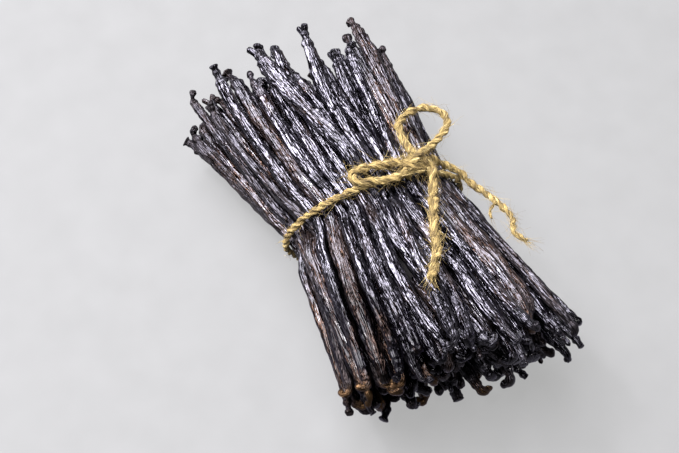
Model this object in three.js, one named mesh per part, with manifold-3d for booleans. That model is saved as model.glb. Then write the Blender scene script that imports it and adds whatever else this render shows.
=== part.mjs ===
// A bundle of cured vanilla pods, tied round its waist with jute twine in a bow.
//
// Millimetres, +Z up. The bundle lies on its back: +X runs along it towards the wider, flared
// end, and the splayed tips of both ends carry it, with the waist just clear of the ground.
// The origin is the middle of the pods' footprint, on the ground.

import * as THREE from 'three';
import { mergeVertices } from 'three/addons/utils/BufferGeometryUtils.js';
import Module from 'manifold-3d';

// ---- Driving dimensions: the bundle ------------------------------------------------------

const SEED = 20;
const POD_COUNT = 84;
const POD_RADIUS = 3.45;
const POD_LENGTH = { least: 166, most: 184 };
const GIRTH = { least: 0.86, most: 1.12 };

// Half width and half height of the bundle at its waist and at both ends, the height of its
// middle, how far from the waist the ends lie, and how far the foot lies to one side. Past its
// ends it flares on only a little.
const WAIST = { wide: 41.5, high: 29, up: 33 };
const HEAD = { wide: 52, high: 36, at: -95, aside: 0 };
const FOOT = { wide: 52, high: 39, at: 88, aside: -5 };
const FLARE_MOST = 1.25;
const SETTLED = { sunk: 1.5, from: 90, power: 1.2 };
const WAIST_PLACE = { x: -4.7, y: 5.6 };
const GROUND_PRESS = 0.2;
const TIE_LENGTH = 9;

// The tie sits a little askew, and the pods' ends a little more so: X for each Y.
const SKEW = 0.17;
const END_SKEW = 0.05;

// How far past the tie the pods' own middles lie, and how much farther at the top.
const MIDDLES = { at: 5, spread: 8, slope: 8 };

// Every pod strays a little from its seat at each end, waves, and bows near its tips.
const LOOSE = { middle: 0.06, rim: 0.1, most: 1.03 };
const WAVE = { most: 0.9, length: 85 };
const SWAY = { most: 6, along: 34, past: 1.3 };
const HOOK = { most: 105, length: 9, steps: 4 };

// The pods that lie outermost where the bundle shows. Each row gives the bearing round the
// bundle at the head, waist and foot (degrees from straight up towards +Y), how far out the
// head lies, both ends' distance from the waist, and the girth against a middling pod.
const OUTER_PODS = [
  [-112, -112, -106, 1.2, -79, 90, 1.12],
  [-101, -100, -97, 1.22, -81, 92, 1.05],
  [-86, -88, -88, 1.05, -82, 93, 1.0],
  [-68, -76, -76, 1.05, -86, 90, 0.95],
  [-57, -65, -68, 1.0, -82, 94, 0.95],
  [-38, -54, -58, 1.02, -86, 94, 1.1],
  [-28, -44, -47, 1.0, -86, 92, 1.15],
  [-26, -34, -36, 0.96, -72, 98, 1.0],
  [-12, -24, -29, 0.98, -88, 94, 1.0],
  [-5, -15, -20, 1.0, -90, 92, 1.0],
  [-21, -6, 2, 1.14, -84, 100, 1.26],
  [13, 4, -6, 1.02, -88, 96, 1.05],
  [19, 14, 12, 0.98, -76, 98, 1.0],
  [27, 25, 24, 1.0, -79, 101, 1.0],
  [37, 36, 36, 1.0, -85, 96, 1.05],
  [54, 48, 50, 1.06, -98, 84, 1.14],
  [58, 61, 63, 1.0, -78, 96, 1.0],
  [73, 75, 76, 1.06, -74, 91, 1.05],
];

// A pod's girth along its length: a knob at the stem, a thin neck, then the full body.
const PROFILE = [
  [0, 0.5],
  [0.035, 0.6],
  [0.13, 0.86],
  [0.35, 0.98],
  [0.6, 1],
  [0.85, 0.92],
  [0.96, 0.72],
  [1, 0.46],
];

// The sides and rings of a pod's solid: one that shows at the waist has a ring there, and one
// that runs through the core only needs its two tips.
const RIM = 0.78;
const SHOWN = { sides: 6, before: [0, 0.035, 0.13, 0.3], after: [0.78, 0.95, 1] };
const BURIED = { sides: 5, before: [0, 0.035, 0.14], after: [0.84, 0.96, 1] };

// Settling: the pods push each other apart, bend only gently and stay on the ground.
const ROUNDS = 90;
const BENDING_ROUNDS = 82;
const PACKING = 0.97;
const PUSH = 0.3;
const BENDING = 0.4;
const STATIONS = { first: -112, step: 8, count: 28 };
const OVERHANG = 10;

// The solid middle that the outer pods are fused to.
const CORE = { from: -66, to: 62, rows: 7, sides: 24, inset: 1.15 };

// Fusing: points nearer than a sliver become one, and points that only touch are drawn apart.
const SLIVER = 0.2;
const TOUCHING = 0.002;
const APART = 0.1;

// ---- Driving dimensions: the twine ---------------------------------------------------------

const TWINE_RADIUS = 1.3;
const TAIL_RADIUS = 1.6;
const TWINE_SIDES = 8;
const TIE_GAP = 0.6;
const TIE_POINTS = 72;

// The knot: its middle, its half sizes along the pods, round the tie and off the pods, its
// bearing round the bundle, and how near to its middle the tie comes.
const KNOT = {
  at: new THREE.Vector3(-4.7, 27.6, 62.6),
  size: new THREE.Vector3(4, 4.4, 3.2),
  bearing: 22,
  clear: 6.6,
};

// The free twine's routes from the knot: two bow loops and two tails.
const LOOP_FLAT = [
  [-8.2, 22.2, 62.2],
  [-9.4, 19.6, 62.7],
  [-10.3, 16.6, 63.1],
  [-11.2, 13.4, 63.4],
  [-12.0, 10.0, 63.9],
  [-12.7, 6.8, 64.3],
  [-13.2, 3.6, 64.8],
  [-13.4, 0.9, 64.9],
  [-12.9, -1.1, 64.8],
  [-11.2, -2.4, 64.9],
  [-8.9, -2.5, 65.3],
  [-6.7, -0.9, 66.0],
  [-5.0, 1.9, 66.5],
  [-3.5, 5.0, 66.5],
  [-2.3, 8.0, 66.4],
  [-1.5, 11.2, 66.2],
  [-1.2, 14.6, 65.8],
  [-1.4, 17.8, 65.3],
  [-2.1, 20.6, 64.8],
];
const LOOP_OPEN = [
  [-9.8, 28.2, 63.2],
  [-12.8, 28.7, 61.9],
  [-16.1, 28.8, 61.0],
  [-19.5, 29.0, 60.8],
  [-22.8, 29.3, 61.1],
  [-25.8, 30.4, 61.5],
  [-28.3, 32.8, 61.7],
  [-30.0, 36.3, 61.6],
  [-30.8, 40.1, 61.2],
  [-30.8, 44.1, 60.7],
  [-29.6, 47.8, 60.2],
  [-27.2, 51.0, 59.7],
  [-23.8, 53.0, 59.3],
  [-20.2, 53.0, 59.1],
  [-17.0, 51.1, 59.2],
  [-14.6, 47.8, 59.6],
  [-12.7, 44.1, 60.2],
  [-11.0, 40.3, 60.9],
  [-9.4, 36.7, 61.8],
  [-8.2, 34.0, 62.6],
];
const TAIL_FRONT = [
  [-0.6, 32.2, 62.0],
  [2.2, 31.2, 61.7],
  [5.2, 29.7, 61.2],
  [8.6, 27.7, 61.4],
  [12.6, 25.1, 62.6],
  [17.0, 22.4, 64.7],
  [21.0, 19.9, 65.9],
  [25.3, 17.4, 67.0],
  [30.0, 14.6, 68.1],
  [34.8, 12.2, 69.4],
  [39.4, 9.7, 71.4],
  [44.0, 6.8, 73.6],
  [48.2, 3.4, 75.8],
  [51.6, 0.2, 77.0],
  [54.2, -2.4, 77.2],
];
const TAIL_SIDE = [
  [-6.0, 34.2, 59.6],
  [-5.4, 36.4, 57.4],
  [-4.4, 38.8, 54.6],
  [-3.4, 41.6, 51.8],
  [-1.6, 44.4, 49.6],
  [1.6, 47.2, 48.0],
  [6.2, 48.9, 46.2],
  [11.0, 50.6, 45.6],
  [15.8, 52.3, 45.6],
  [21.0, 53.7, 46.0],
  [26.1, 54.7, 46.7],
  [30.8, 55.0, 47.7],
  [34.8, 54.5, 48.7],
  [37.7, 53.0, 49.6],
  [40.2, 51.0, 50.6],
  [43.2, 50.3, 51.6],
  [46.2, 51.2, 51.9],
  [49.0, 52.6, 51.7],
];

// ---- Small helpers ---------------------------------------------------------------------------

const radians = THREE.MathUtils.degToRad;
const mix = THREE.MathUtils.lerp;
const clamp = THREE.MathUtils.clamp;
const UP = new THREE.Vector3(0, 0, 1);

/** A repeatable draw of numbers from 0 to 1 (mulberry32). */
function drawFrom(seed) {
  let state = seed >>> 0;
  return () => {
    state = (state + 0x6d2b79f5) >>> 0;
    let t = state;
    t = Math.imul(t ^ (t >>> 15), t | 1) >>> 0;
    t = (t ^ (t + Math.imul(t ^ (t >>> 7), t | 61))) >>> 0;
    return ((t ^ (t >>> 14)) >>> 0) / 4294967296;
  };
}

/** Half width, half height and middle height of the bundle at a distance s from the waist. */
function outline(s) {
  const end = s < 0 ? HEAD : FOOT;
  const t = Math.min(FLARE_MOST, s / end.at);
  const high = mix(WAIST.high, end.high, t);
  const down = Math.min(1, Math.abs(s) / SETTLED.from) ** SETTLED.power;
  return {
    wide: mix(WAIST.wide, end.wide, t),
    high,
    up: mix(WAIST.up, high - SETTLED.sunk, down),
    aside: t * end.aside,
  };
}

const stations = Array.from({ length: STATIONS.count }, (_, j) => STATIONS.first + STATIONS.step * j);

// ---- Where each pod runs ---------------------------------------------------------------------

/** The small ways in which a pod strays from a straight stick, and how it curls at its ends. */
function drawHabit(draw) {
  const end = () => {
    const bearing = 2 * Math.PI * draw();
    const side = [Math.sin(bearing), Math.cos(bearing)];
    const sway = SWAY.most * draw();
    const hook = radians(HOOK.most) * draw() ** 2;
    return { side, sway, hook };
  };
  const wave = () => ({ size: WAVE.most * draw(), phase: 2 * Math.PI * draw() });
  return { head: end(), foot: end(), waves: [wave(), wave()], roll: Math.PI * draw() };
}

/** The pods' seats: a place across the bundle at the head, waist and foot, and both ends. */
function seatPods(draw) {
  const seats = OUTER_PODS.map(([head, waist, foot, reach, headAt, footAt, girth]) => ({
    across: [[head, reach], [waist, 1], [foot, 1]].map(([bearing, out]) => [
      out * Math.sin(radians(bearing)),
      out * Math.cos(radians(bearing)),
    ]),
    from: headAt,
    to: footAt,
    radius: POD_RADIUS * girth,
    ...drawHabit(draw),
  }));
  const inner = POD_COUNT - seats.length;
  const goldenAngle = Math.PI * (3 - Math.sqrt(5));
  for (let k = 0; k < inner; k += 1) {
    const out = Math.sqrt((k + 0.5) / inner);
    const waist = [out * Math.sin(k * goldenAngle), out * Math.cos(k * goldenAngle)];
    const loose = LOOSE.middle + LOOSE.rim * out;
    const nearby = () => {
      const place = waist.map((value) => value + loose * (2 * draw() - 1));
      const over = Math.max(1, Math.hypot(...place) / LOOSE.most);
      return place.map((value) => value / over);
    };
    const across = [nearby(), waist, nearby()];
    const half = mix(POD_LENGTH.least, POD_LENGTH.most, draw()) / 2;
    const leaning = END_SKEW * WAIST.wide * waist[0] + MIDDLES.slope * waist[1];
    const middle = MIDDLES.at + leaning + MIDDLES.spread * (draw() - 0.5);
    const radius = POD_RADIUS * mix(GIRTH.least, GIRTH.most, draw());
    const ends = { from: middle - half, to: middle + half };
    seats.push({ across, ...ends, radius, ...drawHabit(draw) });
  }
  return seats;
}

/** A pod's course before it settles: its y and z at each station. */
function looseCourse(seat) {
  return stations.map((s) => {
    const t = s / -HEAD.at;
    const weights = [t * (t - 1) / 2, 1 - t * t, t * (t + 1) / 2];
    const { wide, high, up, aside } = outline(s);
    const centre = [aside, up];
    const sides = [wide - seat.radius, high - seat.radius];
    const near = (distance) => clamp(1 - distance / SWAY.along, 0, SWAY.past) ** 2;
    return sides.map((side, axis) => {
      const across = weights.reduce((sum, weight, k) => sum + weight * seat.across[k][axis], 0);
      const wave = seat.waves[axis];
      const bow =
        seat.head.side[axis] * seat.head.sway * near(s - seat.from) +
        seat.foot.side[axis] * seat.foot.sway * near(seat.to - s);
      const ripple = wave.size * Math.sin((2 * Math.PI * s) / WAVE.length + wave.phase);
      return across * side + centre[axis] + bow + ripple;
    });
  });
}

/** Keep a pod's middle inside the tie and above the ground. */
function hold(place, seat, s) {
  if (Math.abs(s) < TIE_LENGTH) {
    const y = place[0] / (WAIST.wide - seat.radius);
    const z = (place[1] - WAIST.up) / (WAIST.high - seat.radius);
    const over = Math.max(1, Math.hypot(y, z));
    place[0] /= over;
    place[1] = WAIST.up + (place[1] - WAIST.up) / over;
  }
  place[1] = Math.max(place[1], seat.radius - GROUND_PRESS);
}

/** Let the pods push each other apart until they lie side by side. */
function settle(seats) {
  const loose = seats.map(looseCourse);
  let courses = loose.map((course) => course.map((place) => [...place]));
  const present = stations.map((s) =>
    seats.map((seat, i) => i).filter((i) => s > seats[i].from - OVERHANG && s < seats[i].to + OVERHANG),
  );
  for (let round = 0; round < ROUNDS; round += 1) {
    const next = courses.map((course) => course.map((place) => [...place]));
    stations.forEach((s, j) => {
      present[j].forEach((a, k) => {
        present[j].slice(k + 1).forEach((b) => {
          const dy = courses[a][j][0] - courses[b][j][0];
          const dz = courses[a][j][1] - courses[b][j][1];
          const distance = Math.max(Math.hypot(dy, dz), 1e-6);
          const over = PACKING * (seats[a].radius + seats[b].radius) - distance;
          if (over > 0) {
            const push = (PUSH * over) / distance;
            next[a][j][0] += push * dy;
            next[a][j][1] += push * dz;
            next[b][j][0] -= push * dy;
            next[b][j][1] -= push * dz;
          }
        });
      });
      seats.forEach((seat, i) => hold(next[i][j], seat, s));
    });
    courses = next;
    if (round < BENDING_ROUNDS) {
      courses = courses.map((course, i) => straighten(course, loose[i], seats[i]));
    }
  }
  return courses;
}

/** Even out how far a pod has been pushed, from station to station. */
function straighten(course, loose, seat) {
  const shift = course.map((place, j) => [place[0] - loose[j][0], place[1] - loose[j][1]]);
  const last = shift.length - 1;
  return course.map((_, j) => {
    const place = [0, 1].map((axis) => {
      const before = shift[Math.max(0, j - 1)][axis];
      const after = shift[Math.min(last, j + 1)][axis];
      const middle = j === 0 ? after : j === last ? before : (before + after) / 2;
      return loose[j][axis] + mix(shift[j][axis], middle, BENDING);
    });
    place[1] = Math.max(place[1], seat.radius - GROUND_PRESS);
    return place;
  });
}

/** A point of the bundle: s along it from the waist, in the skewed planes. */
function pointAt(s, y, z) {
  return new THREE.Vector3(WAIST_PLACE.x + s + SKEW * y, WAIST_PLACE.y + y, z);
}

/** The bent tip of a pod, from the end of its body outwards. */
function tipPoints(start, along, end, radius) {
  const side = new THREE.Vector3(0, end.side[0], end.side[1]);
  side.addScaledVector(along, -side.dot(along)).normalize();
  const points = [];
  const step = HOOK.length / HOOK.steps;
  let point = start;
  for (let k = 0; k < HOOK.steps; k += 1) {
    const turn = (end.hook * (k + 0.5)) / HOOK.steps;
    point = point
      .clone()
      .addScaledVector(along, step * Math.cos(turn))
      .addScaledVector(side, step * Math.sin(turn));
    point.z = Math.max(point.z, radius - GROUND_PRESS);
    points.push(point);
  }
  return points;
}

/** A pod's middle line from the tip at the head to the tip at the foot. */
function middleLine(seat, course) {
  const at = (s) => {
    const j = clamp(Math.floor((s - STATIONS.first) / STATIONS.step), 0, STATIONS.count - 2);
    const t = (s - stations[j]) / STATIONS.step;
    return pointAt(s, mix(course[j][0], course[j + 1][0], t), mix(course[j][1], course[j + 1][1], t));
  };
  const from = seat.from + HOOK.length;
  const to = seat.to - HOOK.length;
  const between = stations.filter((s) => s > from + 1 && s < to - 1);
  const body = [from, ...between, to].map(at);
  const headward = body[0].clone().sub(body[1]).normalize();
  const footward = body[body.length - 1].clone().sub(body[body.length - 2]).normalize();
  const head = tipPoints(body[0], headward, seat.head, seat.radius);
  const foot = tipPoints(body[body.length - 1], footward, seat.foot, seat.radius);
  return [...head.reverse(), ...body, ...foot];
}

// ---- Solids ------------------------------------------------------------------------------------

const wasm = await Module();
wasm.setup();

/** A closed geometry as a solid that can be joined and cut, its points merged within a span. */
function toSolid(geometry, span = 1e-4) {
  geometry.deleteAttribute('normal');
  geometry.deleteAttribute('uv');
  const merged = mergeVertices(geometry, span);
  const corners = merged.index.array;
  const kept = [];
  for (let k = 0; k < corners.length; k += 3) {
    const [a, b, c] = [corners[k], corners[k + 1], corners[k + 2]];
    if (a !== b && b !== c && c !== a) kept.push(a, b, c);
  }
  return new wasm.Manifold(
    new wasm.Mesh({
      numProp: 3,
      vertProperties: merged.attributes.position.array,
      triVerts: new Uint32Array(kept),
    }),
  );
}

/** A solid's surface as a geometry. */
function surfaceOf(solid) {
  const mesh = solid.getMesh();
  const geometry = new THREE.BufferGeometry();
  geometry.setAttribute('position', new THREE.BufferAttribute(mesh.vertProperties, 3));
  geometry.setIndex(new THREE.BufferAttribute(mesh.triVerts, 1));
  return geometry;
}

/** Draw points that touch without being joined apart, each towards its own neighbours. */
function partTouching(geometry) {
  const position = geometry.attributes.position;
  const point = (k) => new THREE.Vector3().fromBufferAttribute(position, k);
  const neighbours = Array.from({ length: position.count }, () => []);
  const corners = geometry.index.array;
  for (let k = 0; k < corners.length; k += 3) {
    const face = [...corners.slice(k, k + 3)];
    face.forEach((corner) => neighbours[corner].push(...face.filter((other) => other !== corner)));
  }
  const taken = new Set();
  for (let k = 0; k < position.count; k += 1) {
    const here = point(k);
    const key = here.toArray().map((value) => Math.round(value / TOUCHING)).join();
    if (taken.has(key)) {
      const middle = new THREE.Vector3();
      neighbours[k].forEach((other) => middle.addScaledVector(point(other), 1 / neighbours[k].length));
      here.lerp(middle, APART);
      position.setXYZ(k, here.x, here.y, here.z);
    }
    taken.add(key);
  }
  return geometry;
}

/** Join solids and keep the largest piece, with no slivers, loose scraps or sealed hollows. */
function fuse(solids) {
  const joined = toSolid(surfaceOf(wasm.Manifold.union(solids)), SLIVER);
  const pieces = joined.decompose();
  return partTouching(surfaceOf(pieces.reduce((a, b) => (b.volume() > a.volume() ? b : a))));
}

/** Positions and level side directions along a line of points, by distance. */
function frameLine(points) {
  const distances = [0];
  points.slice(1).forEach((point, k) => distances.push(distances[k] + point.distanceTo(points[k])));
  const tangents = points.map((_, k) => {
    const before = points[Math.max(0, k - 1)];
    const after = points[Math.min(points.length - 1, k + 1)];
    return after.clone().sub(before).normalize();
  });
  const sides = [];
  let side = new THREE.Vector3().crossVectors(UP, tangents[0]);
  tangents.forEach((tangent) => {
    side = side.clone().addScaledVector(tangent, -side.dot(tangent)).normalize();
    sides.push(side);
  });
  return { points, distances, tangents, sides, length: distances[distances.length - 1] };
}

/** The point at a distance along a framed line, shifted sideways and upwards from it. */
function besideLine(line, distance, sideways, upwards) {
  let k = line.distances.findIndex((value) => value >= distance);
  k = clamp(k < 0 ? line.points.length - 1 : k, 1, line.points.length - 1);
  const t = clamp((distance - line.distances[k - 1]) / (line.distances[k] - line.distances[k - 1]), 0, 1);
  const tangent = line.tangents[k - 1].clone().lerp(line.tangents[k], t).normalize();
  const side = line.sides[k - 1].clone().lerp(line.sides[k], t);
  side.addScaledVector(tangent, -side.dot(tangent)).normalize();
  const up = new THREE.Vector3().crossVectors(side, tangent);
  return line.points[k - 1]
    .clone()
    .lerp(line.points[k], t)
    .addScaledVector(side, sideways)
    .addScaledVector(up, upwards);
}

/** Bend a geometry that stands on the Y axis along a framed line. */
function bendAlong(geometry, line) {
  const position = geometry.attributes.position;
  for (let k = 0; k < position.count; k += 1) {
    const point = besideLine(line, position.getY(k), position.getX(k), position.getZ(k));
    position.setXYZ(k, point.x, point.y, point.z);
  }
  return geometry;
}

/** A pod's girth at a share t of its length. */
function girthAt(t) {
  const k = PROFILE.findIndex(([stop]) => stop >= t);
  if (k <= 0) return PROFILE[0][1];
  const [before, after] = [PROFILE[k - 1], PROFILE[k]];
  return mix(before[1], after[1], (t - before[0]) / (after[0] - before[0]));
}

/** One pod, turned to its profile and bent along its middle line. */
function podGeometry(seat, points) {
  const line = frameLine(points);
  const shown = Math.hypot(...seat.across[1]) > RIM;
  const { sides, before, after } = shown ? SHOWN : BURIED;
  const waist = shown ? [-seat.from / (seat.to - seat.from)] : [];
  const rings = [...before, ...waist, ...after].map(
    (t) => new THREE.Vector2(girthAt(t) * seat.radius, t * line.length),
  );
  const closed = [new THREE.Vector2(0, 0), ...rings, new THREE.Vector2(0, line.length)];
  return bendAlong(new THREE.LatheGeometry(closed, sides, seat.roll), line);
}

/** The point where a cord pulled tight round the pods touches, at a bearing, out by `off`. */
function tightPoint(seats, courses, s, bearing, off) {
  const normal = [Math.sin(bearing), Math.cos(bearing)];
  const j = clamp(Math.floor((s - STATIONS.first) / STATIONS.step), 0, STATIONS.count - 2);
  const t = (s - stations[j]) / STATIONS.step;
  let best = null;
  seats.forEach((seat, i) => {
    const y = mix(courses[i][j][0], courses[i][j + 1][0], t);
    const z = mix(courses[i][j][1], courses[i][j + 1][1], t);
    const reach = y * normal[0] + z * normal[1] + seat.radius;
    if (!best || reach > best.reach) {
      best = { reach, y: y + (seat.radius + off) * normal[0], z: z + (seat.radius + off) * normal[1] };
    }
  });
  return pointAt(s, best.y, best.z);
}

/** The bundle's solid middle, just inside its outermost pods. */
function coreGeometry(seats, courses) {
  const geometry = new THREE.CylinderGeometry(1, 1, 1, CORE.sides, CORE.rows);
  const position = geometry.attributes.position;
  for (let k = 0; k < position.count; k += 1) {
    const s = mix(CORE.from, CORE.to, position.getY(k) + 0.5);
    const bearing = Math.atan2(-position.getX(k), position.getZ(k));
    const share = Math.hypot(position.getX(k), position.getZ(k));
    const rim = tightPoint(seats, courses, s, bearing, -CORE.inset * POD_RADIUS);
    const { up, aside } = outline(s);
    const middle = pointAt(s, aside, up);
    const point = middle.lerp(rim, share);
    position.setXYZ(k, point.x, point.y, point.z);
  }
  return geometry;
}

/** A cord's solid along a curve, with a flat face at both ends. */
function cordGeometry(curve, radius, steps) {
  const section = new THREE.Shape();
  for (let k = 0; k < TWINE_SIDES; k += 1) {
    const turn = (2 * Math.PI * k) / TWINE_SIDES;
    const corner = [radius * Math.cos(turn), radius * Math.sin(turn)];
    if (k === 0) section.moveTo(...corner);
    else section.lineTo(...corner);
  }
  section.closePath();
  return new THREE.ExtrudeGeometry(section, { steps, curveSegments: 1, extrudePath: curve });
}

/** The tie's route: tight round the pods from one side of the knot to the other. */
function tieCurve() {
  const route = [];
  for (let k = 0; k < TIE_POINTS; k += 1) {
    const bearing = radians(KNOT.bearing + (360 * k) / TIE_POINTS);
    const point = tightPoint(seats, courses, 0, bearing, TWINE_RADIUS + TIE_GAP);
    const last = route[route.length - 1];
    const apart = !last || point.distanceTo(last) > 2 * TWINE_RADIUS;
    if (apart && point.distanceTo(KNOT.at) > KNOT.clear) route.push(point);
  }
  return new THREE.CatmullRomCurve3(route, false, 'centripetal');
}

/** The bow's knot: a rounded lump on the tie. */
function knotGeometry() {
  const geometry = new THREE.SphereGeometry(1, 12, 8);
  geometry.scale(KNOT.size.x, KNOT.size.y, KNOT.size.z);
  geometry.rotateX(-radians(KNOT.bearing));
  geometry.translate(...KNOT.at.toArray());
  return geometry;
}

// ---- The bundle ----------------------------------------------------------------------------------

const group = new THREE.Group();

/** Add one named piece to the bundle. */
function addPiece(name, geometry, material) {
  const mesh = new THREE.Mesh(geometry, material);
  mesh.name = name;
  group.add(mesh);
}

const podSkin = new THREE.MeshStandardMaterial({ color: 0x2b2226, roughness: 0.35, metalness: 0 });
const jute = new THREE.MeshStandardMaterial({ color: 0xc9a863, roughness: 0.9, metalness: 0 });

const seats = seatPods(drawFrom(SEED));
const courses = settle(seats);
const core = toSolid(coreGeometry(seats, courses));
const lines = seats.map((seat, i) => middleLine(seat, courses[i]));
const podSolids = seats.map((seat, i) => toSolid(podGeometry(seat, lines[i])));
addPiece('pods', fuse([core, ...podSolids]), podSkin);

addPiece('twine_tie', cordGeometry(tieCurve(), TWINE_RADIUS, 38), jute);
addPiece('twine_knot', knotGeometry(), jute);
[
  ['bow_loop_flat', LOOP_FLAT, TWINE_RADIUS, 22],
  ['bow_loop_open', LOOP_OPEN, TWINE_RADIUS, 22],
  ['tail_front', TAIL_FRONT, TAIL_RADIUS, 18],
  ['tail_side', TAIL_SIDE, TWINE_RADIUS, 18],
].forEach(([name, route, radius, steps]) => {
  const points = route.map((point) => new THREE.Vector3(...point));
  const curve = new THREE.CatmullRomCurve3(points, false, 'centripetal');
  addPiece(name, cordGeometry(curve, radius, steps), jute);
});

export default group;
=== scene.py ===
"""A bundle of cured vanilla pods, tied round its waist with jute twine in a bow.

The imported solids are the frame. This script lays the real surfaces over them: whole pods with
their wrinkles and curled tips over a small dark core, and plied twine with its stray fibres. The
pods' places are worked out in millimetres, as the solids' were, and the meshes are in metres.
"""

import logging
import math
from collections.abc import Sequence
from dataclasses import dataclass, field
from enum import Enum
from typing import Any, NamedTuple

import bmesh
import bpy
import numpy as np
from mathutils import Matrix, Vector


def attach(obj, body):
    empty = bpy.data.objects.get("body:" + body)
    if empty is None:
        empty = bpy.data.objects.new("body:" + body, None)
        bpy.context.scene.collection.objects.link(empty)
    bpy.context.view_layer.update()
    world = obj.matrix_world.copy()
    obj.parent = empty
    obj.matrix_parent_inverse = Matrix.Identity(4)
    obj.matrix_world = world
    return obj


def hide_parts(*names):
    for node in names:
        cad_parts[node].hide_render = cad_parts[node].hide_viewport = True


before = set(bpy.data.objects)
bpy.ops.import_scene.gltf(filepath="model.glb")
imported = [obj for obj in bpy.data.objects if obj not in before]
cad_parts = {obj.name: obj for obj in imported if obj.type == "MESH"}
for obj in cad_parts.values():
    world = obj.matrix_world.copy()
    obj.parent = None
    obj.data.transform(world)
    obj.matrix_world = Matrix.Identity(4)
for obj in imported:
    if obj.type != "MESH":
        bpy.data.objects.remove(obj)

log = logging.getLogger("vanilla")

MM = 0.001
TURN = 2 * math.pi
UP = np.array([0.0, 0.0, 1.0])
BODY = "root"

Colour = tuple[float, float, float]
Place = tuple[float, float, float]
Pairs = tuple[tuple[float, float], ...]
Rng = np.random.Generator

# The waves that make a ripple, as how far each is stretched and how strong it is, and their scale.
RIPPLE_WAVES = ((1.0, 1.0), (1.73, 0.8), (0.61, 0.5))
RIPPLE_SCALE = 1.6

# How far the creases wander round a pod as they run along it, and how slowly.
CREASE_DRIFT = 0.06
CREASE_DRIFT_LENGTHS = 4.5


# ---- Numbers and lines -----------------------------------------------------------------------


class Draws:
    """A repeatable draw of numbers from 0 to 1 (mulberry32)."""

    WORD = 0xFFFFFFFF
    STEP = 0x6D2B79F5

    def __init__(self, seed: int) -> None:
        """Start the draw from a seed."""
        self.state = seed & self.WORD

    def __call__(self) -> float:
        """The next number."""
        self.state = (self.state + self.STEP) & self.WORD
        t = self.state
        t = ((t ^ (t >> 15)) * (t | 1)) & self.WORD
        t ^= (t + (((t ^ (t >> 7)) * (t | 61)) & self.WORD)) & self.WORD
        return (t ^ (t >> 14)) / (self.WORD + 1)


def mix(start: Any, end: Any, share: Any) -> Any:
    """The value at a share of the way from start to end."""
    return start + (end - start) * share


def unit(vectors: np.ndarray) -> np.ndarray:
    """Vectors scaled to length one, along their last axis."""
    return vectors / np.maximum(np.linalg.norm(vectors, axis=-1, keepdims=True), 1e-12)


def ease(share: np.ndarray) -> np.ndarray:
    """A share from 0 to 1 that starts and ends gently."""
    share = np.clip(share, 0, 1)
    return share * share * (3 - 2 * share)


def ripple(along: np.ndarray, period: float, rng: Rng) -> np.ndarray:
    """A smooth wandering value of about -1 to 1.

    Args:
        along: Distances at which the value is asked for.
        period: About how far apart its crests lie.
        rng: Where its phases come from.

    Returns:
        One value for each distance.
    """
    waves = [
        size * np.sin(TURN * (along / (period * stretch) + rng.random()))
        for stretch, size in RIPPLE_WAVES
    ]
    return sum(waves) / RIPPLE_SCALE


def creased(
    angles: np.ndarray, along: np.ndarray, cells: int, length: float, rng: Rng
) -> np.ndarray:
    """Smooth noise of -1 to 1 over a pod's skin, drawn out along the pod.

    Args:
        angles: The bearings round the pod.
        along: The distances along it.
        cells: How many patches lie round the pod.
        length: How long a patch is.
        rng: Where the noise comes from.

    Returns:
        One value for each distance and bearing.
    """
    rows = int(along[-1] / length) + 3
    lattice = 2 * rng.random((rows, cells)) - 1
    drift = cells * CREASE_DRIFT * ripple(along, CREASE_DRIFT_LENGTHS * length, rng)
    u = angles[None] / TURN * cells + drift[:, None]
    v = np.broadcast_to((along / length + rng.random())[:, None], u.shape)
    j, k = np.floor(u).astype(int), np.floor(v).astype(int)
    right, down = ease(u - j), ease(v - k)
    j, after = j % cells, (j + 1) % cells
    here = mix(lattice[k, j], lattice[k, after], right)
    return mix(here, mix(lattice[k + 1, j], lattice[k + 1, after], right), down)


def bearings(sides: int) -> np.ndarray:
    """The bearings of the points round a tube, in radians."""
    return np.linspace(0, TURN, sides, endpoint=False)


def grain_of(radius: float, angles: np.ndarray, along: np.ndarray) -> np.ndarray:
    """Places on a tube's skin for the patterns in its material.

    Args:
        radius: The tube's radius.
        angles: The bearings round the tube.
        along: The distances along it, which become the third axis.

    Returns:
        Places as rings x sides x 3.
    """
    return np.stack(np.broadcast_arrays(radius * np.cos(angles), radius * np.sin(angles), along), -1)


def distances(line: np.ndarray) -> np.ndarray:
    """How far along a line each of its points lies."""
    return np.concatenate([[0.0], np.cumsum(np.linalg.norm(np.diff(line, axis=0), axis=1))])


def smooth_line(points: np.ndarray, at: np.ndarray) -> np.ndarray:
    """Places on a smooth curve through points.

    Args:
        points: The points that the curve passes through.
        at: Distances along the straight lines between them.

    Returns:
        One place for each distance.
    """
    along = distances(points)
    slopes = np.gradient(points, along, axis=0)
    k = np.clip(np.searchsorted(along, at, side="right") - 1, 0, len(points) - 2)
    span = (along[k + 1] - along[k])[:, None]
    t = (np.clip(at, 0, along[-1]) - along[k])[:, None] / span
    from_point = (1 + 2 * t) * (1 - t) ** 2 * points[k] + t * (1 - t) ** 2 * span * slopes[k]
    to_point = t**2 * (3 - 2 * t) * points[k + 1] + t**2 * (t - 1) * span * slopes[k + 1]
    return from_point + to_point


def evenly(points: Sequence[Place] | np.ndarray, step: float) -> np.ndarray:
    """A smooth curve through points, as points about one step apart."""
    points = np.array(points)
    long = distances(points)[-1]
    return smooth_line(points, np.linspace(0, long, max(3, round(long / step) + 1)))


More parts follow.
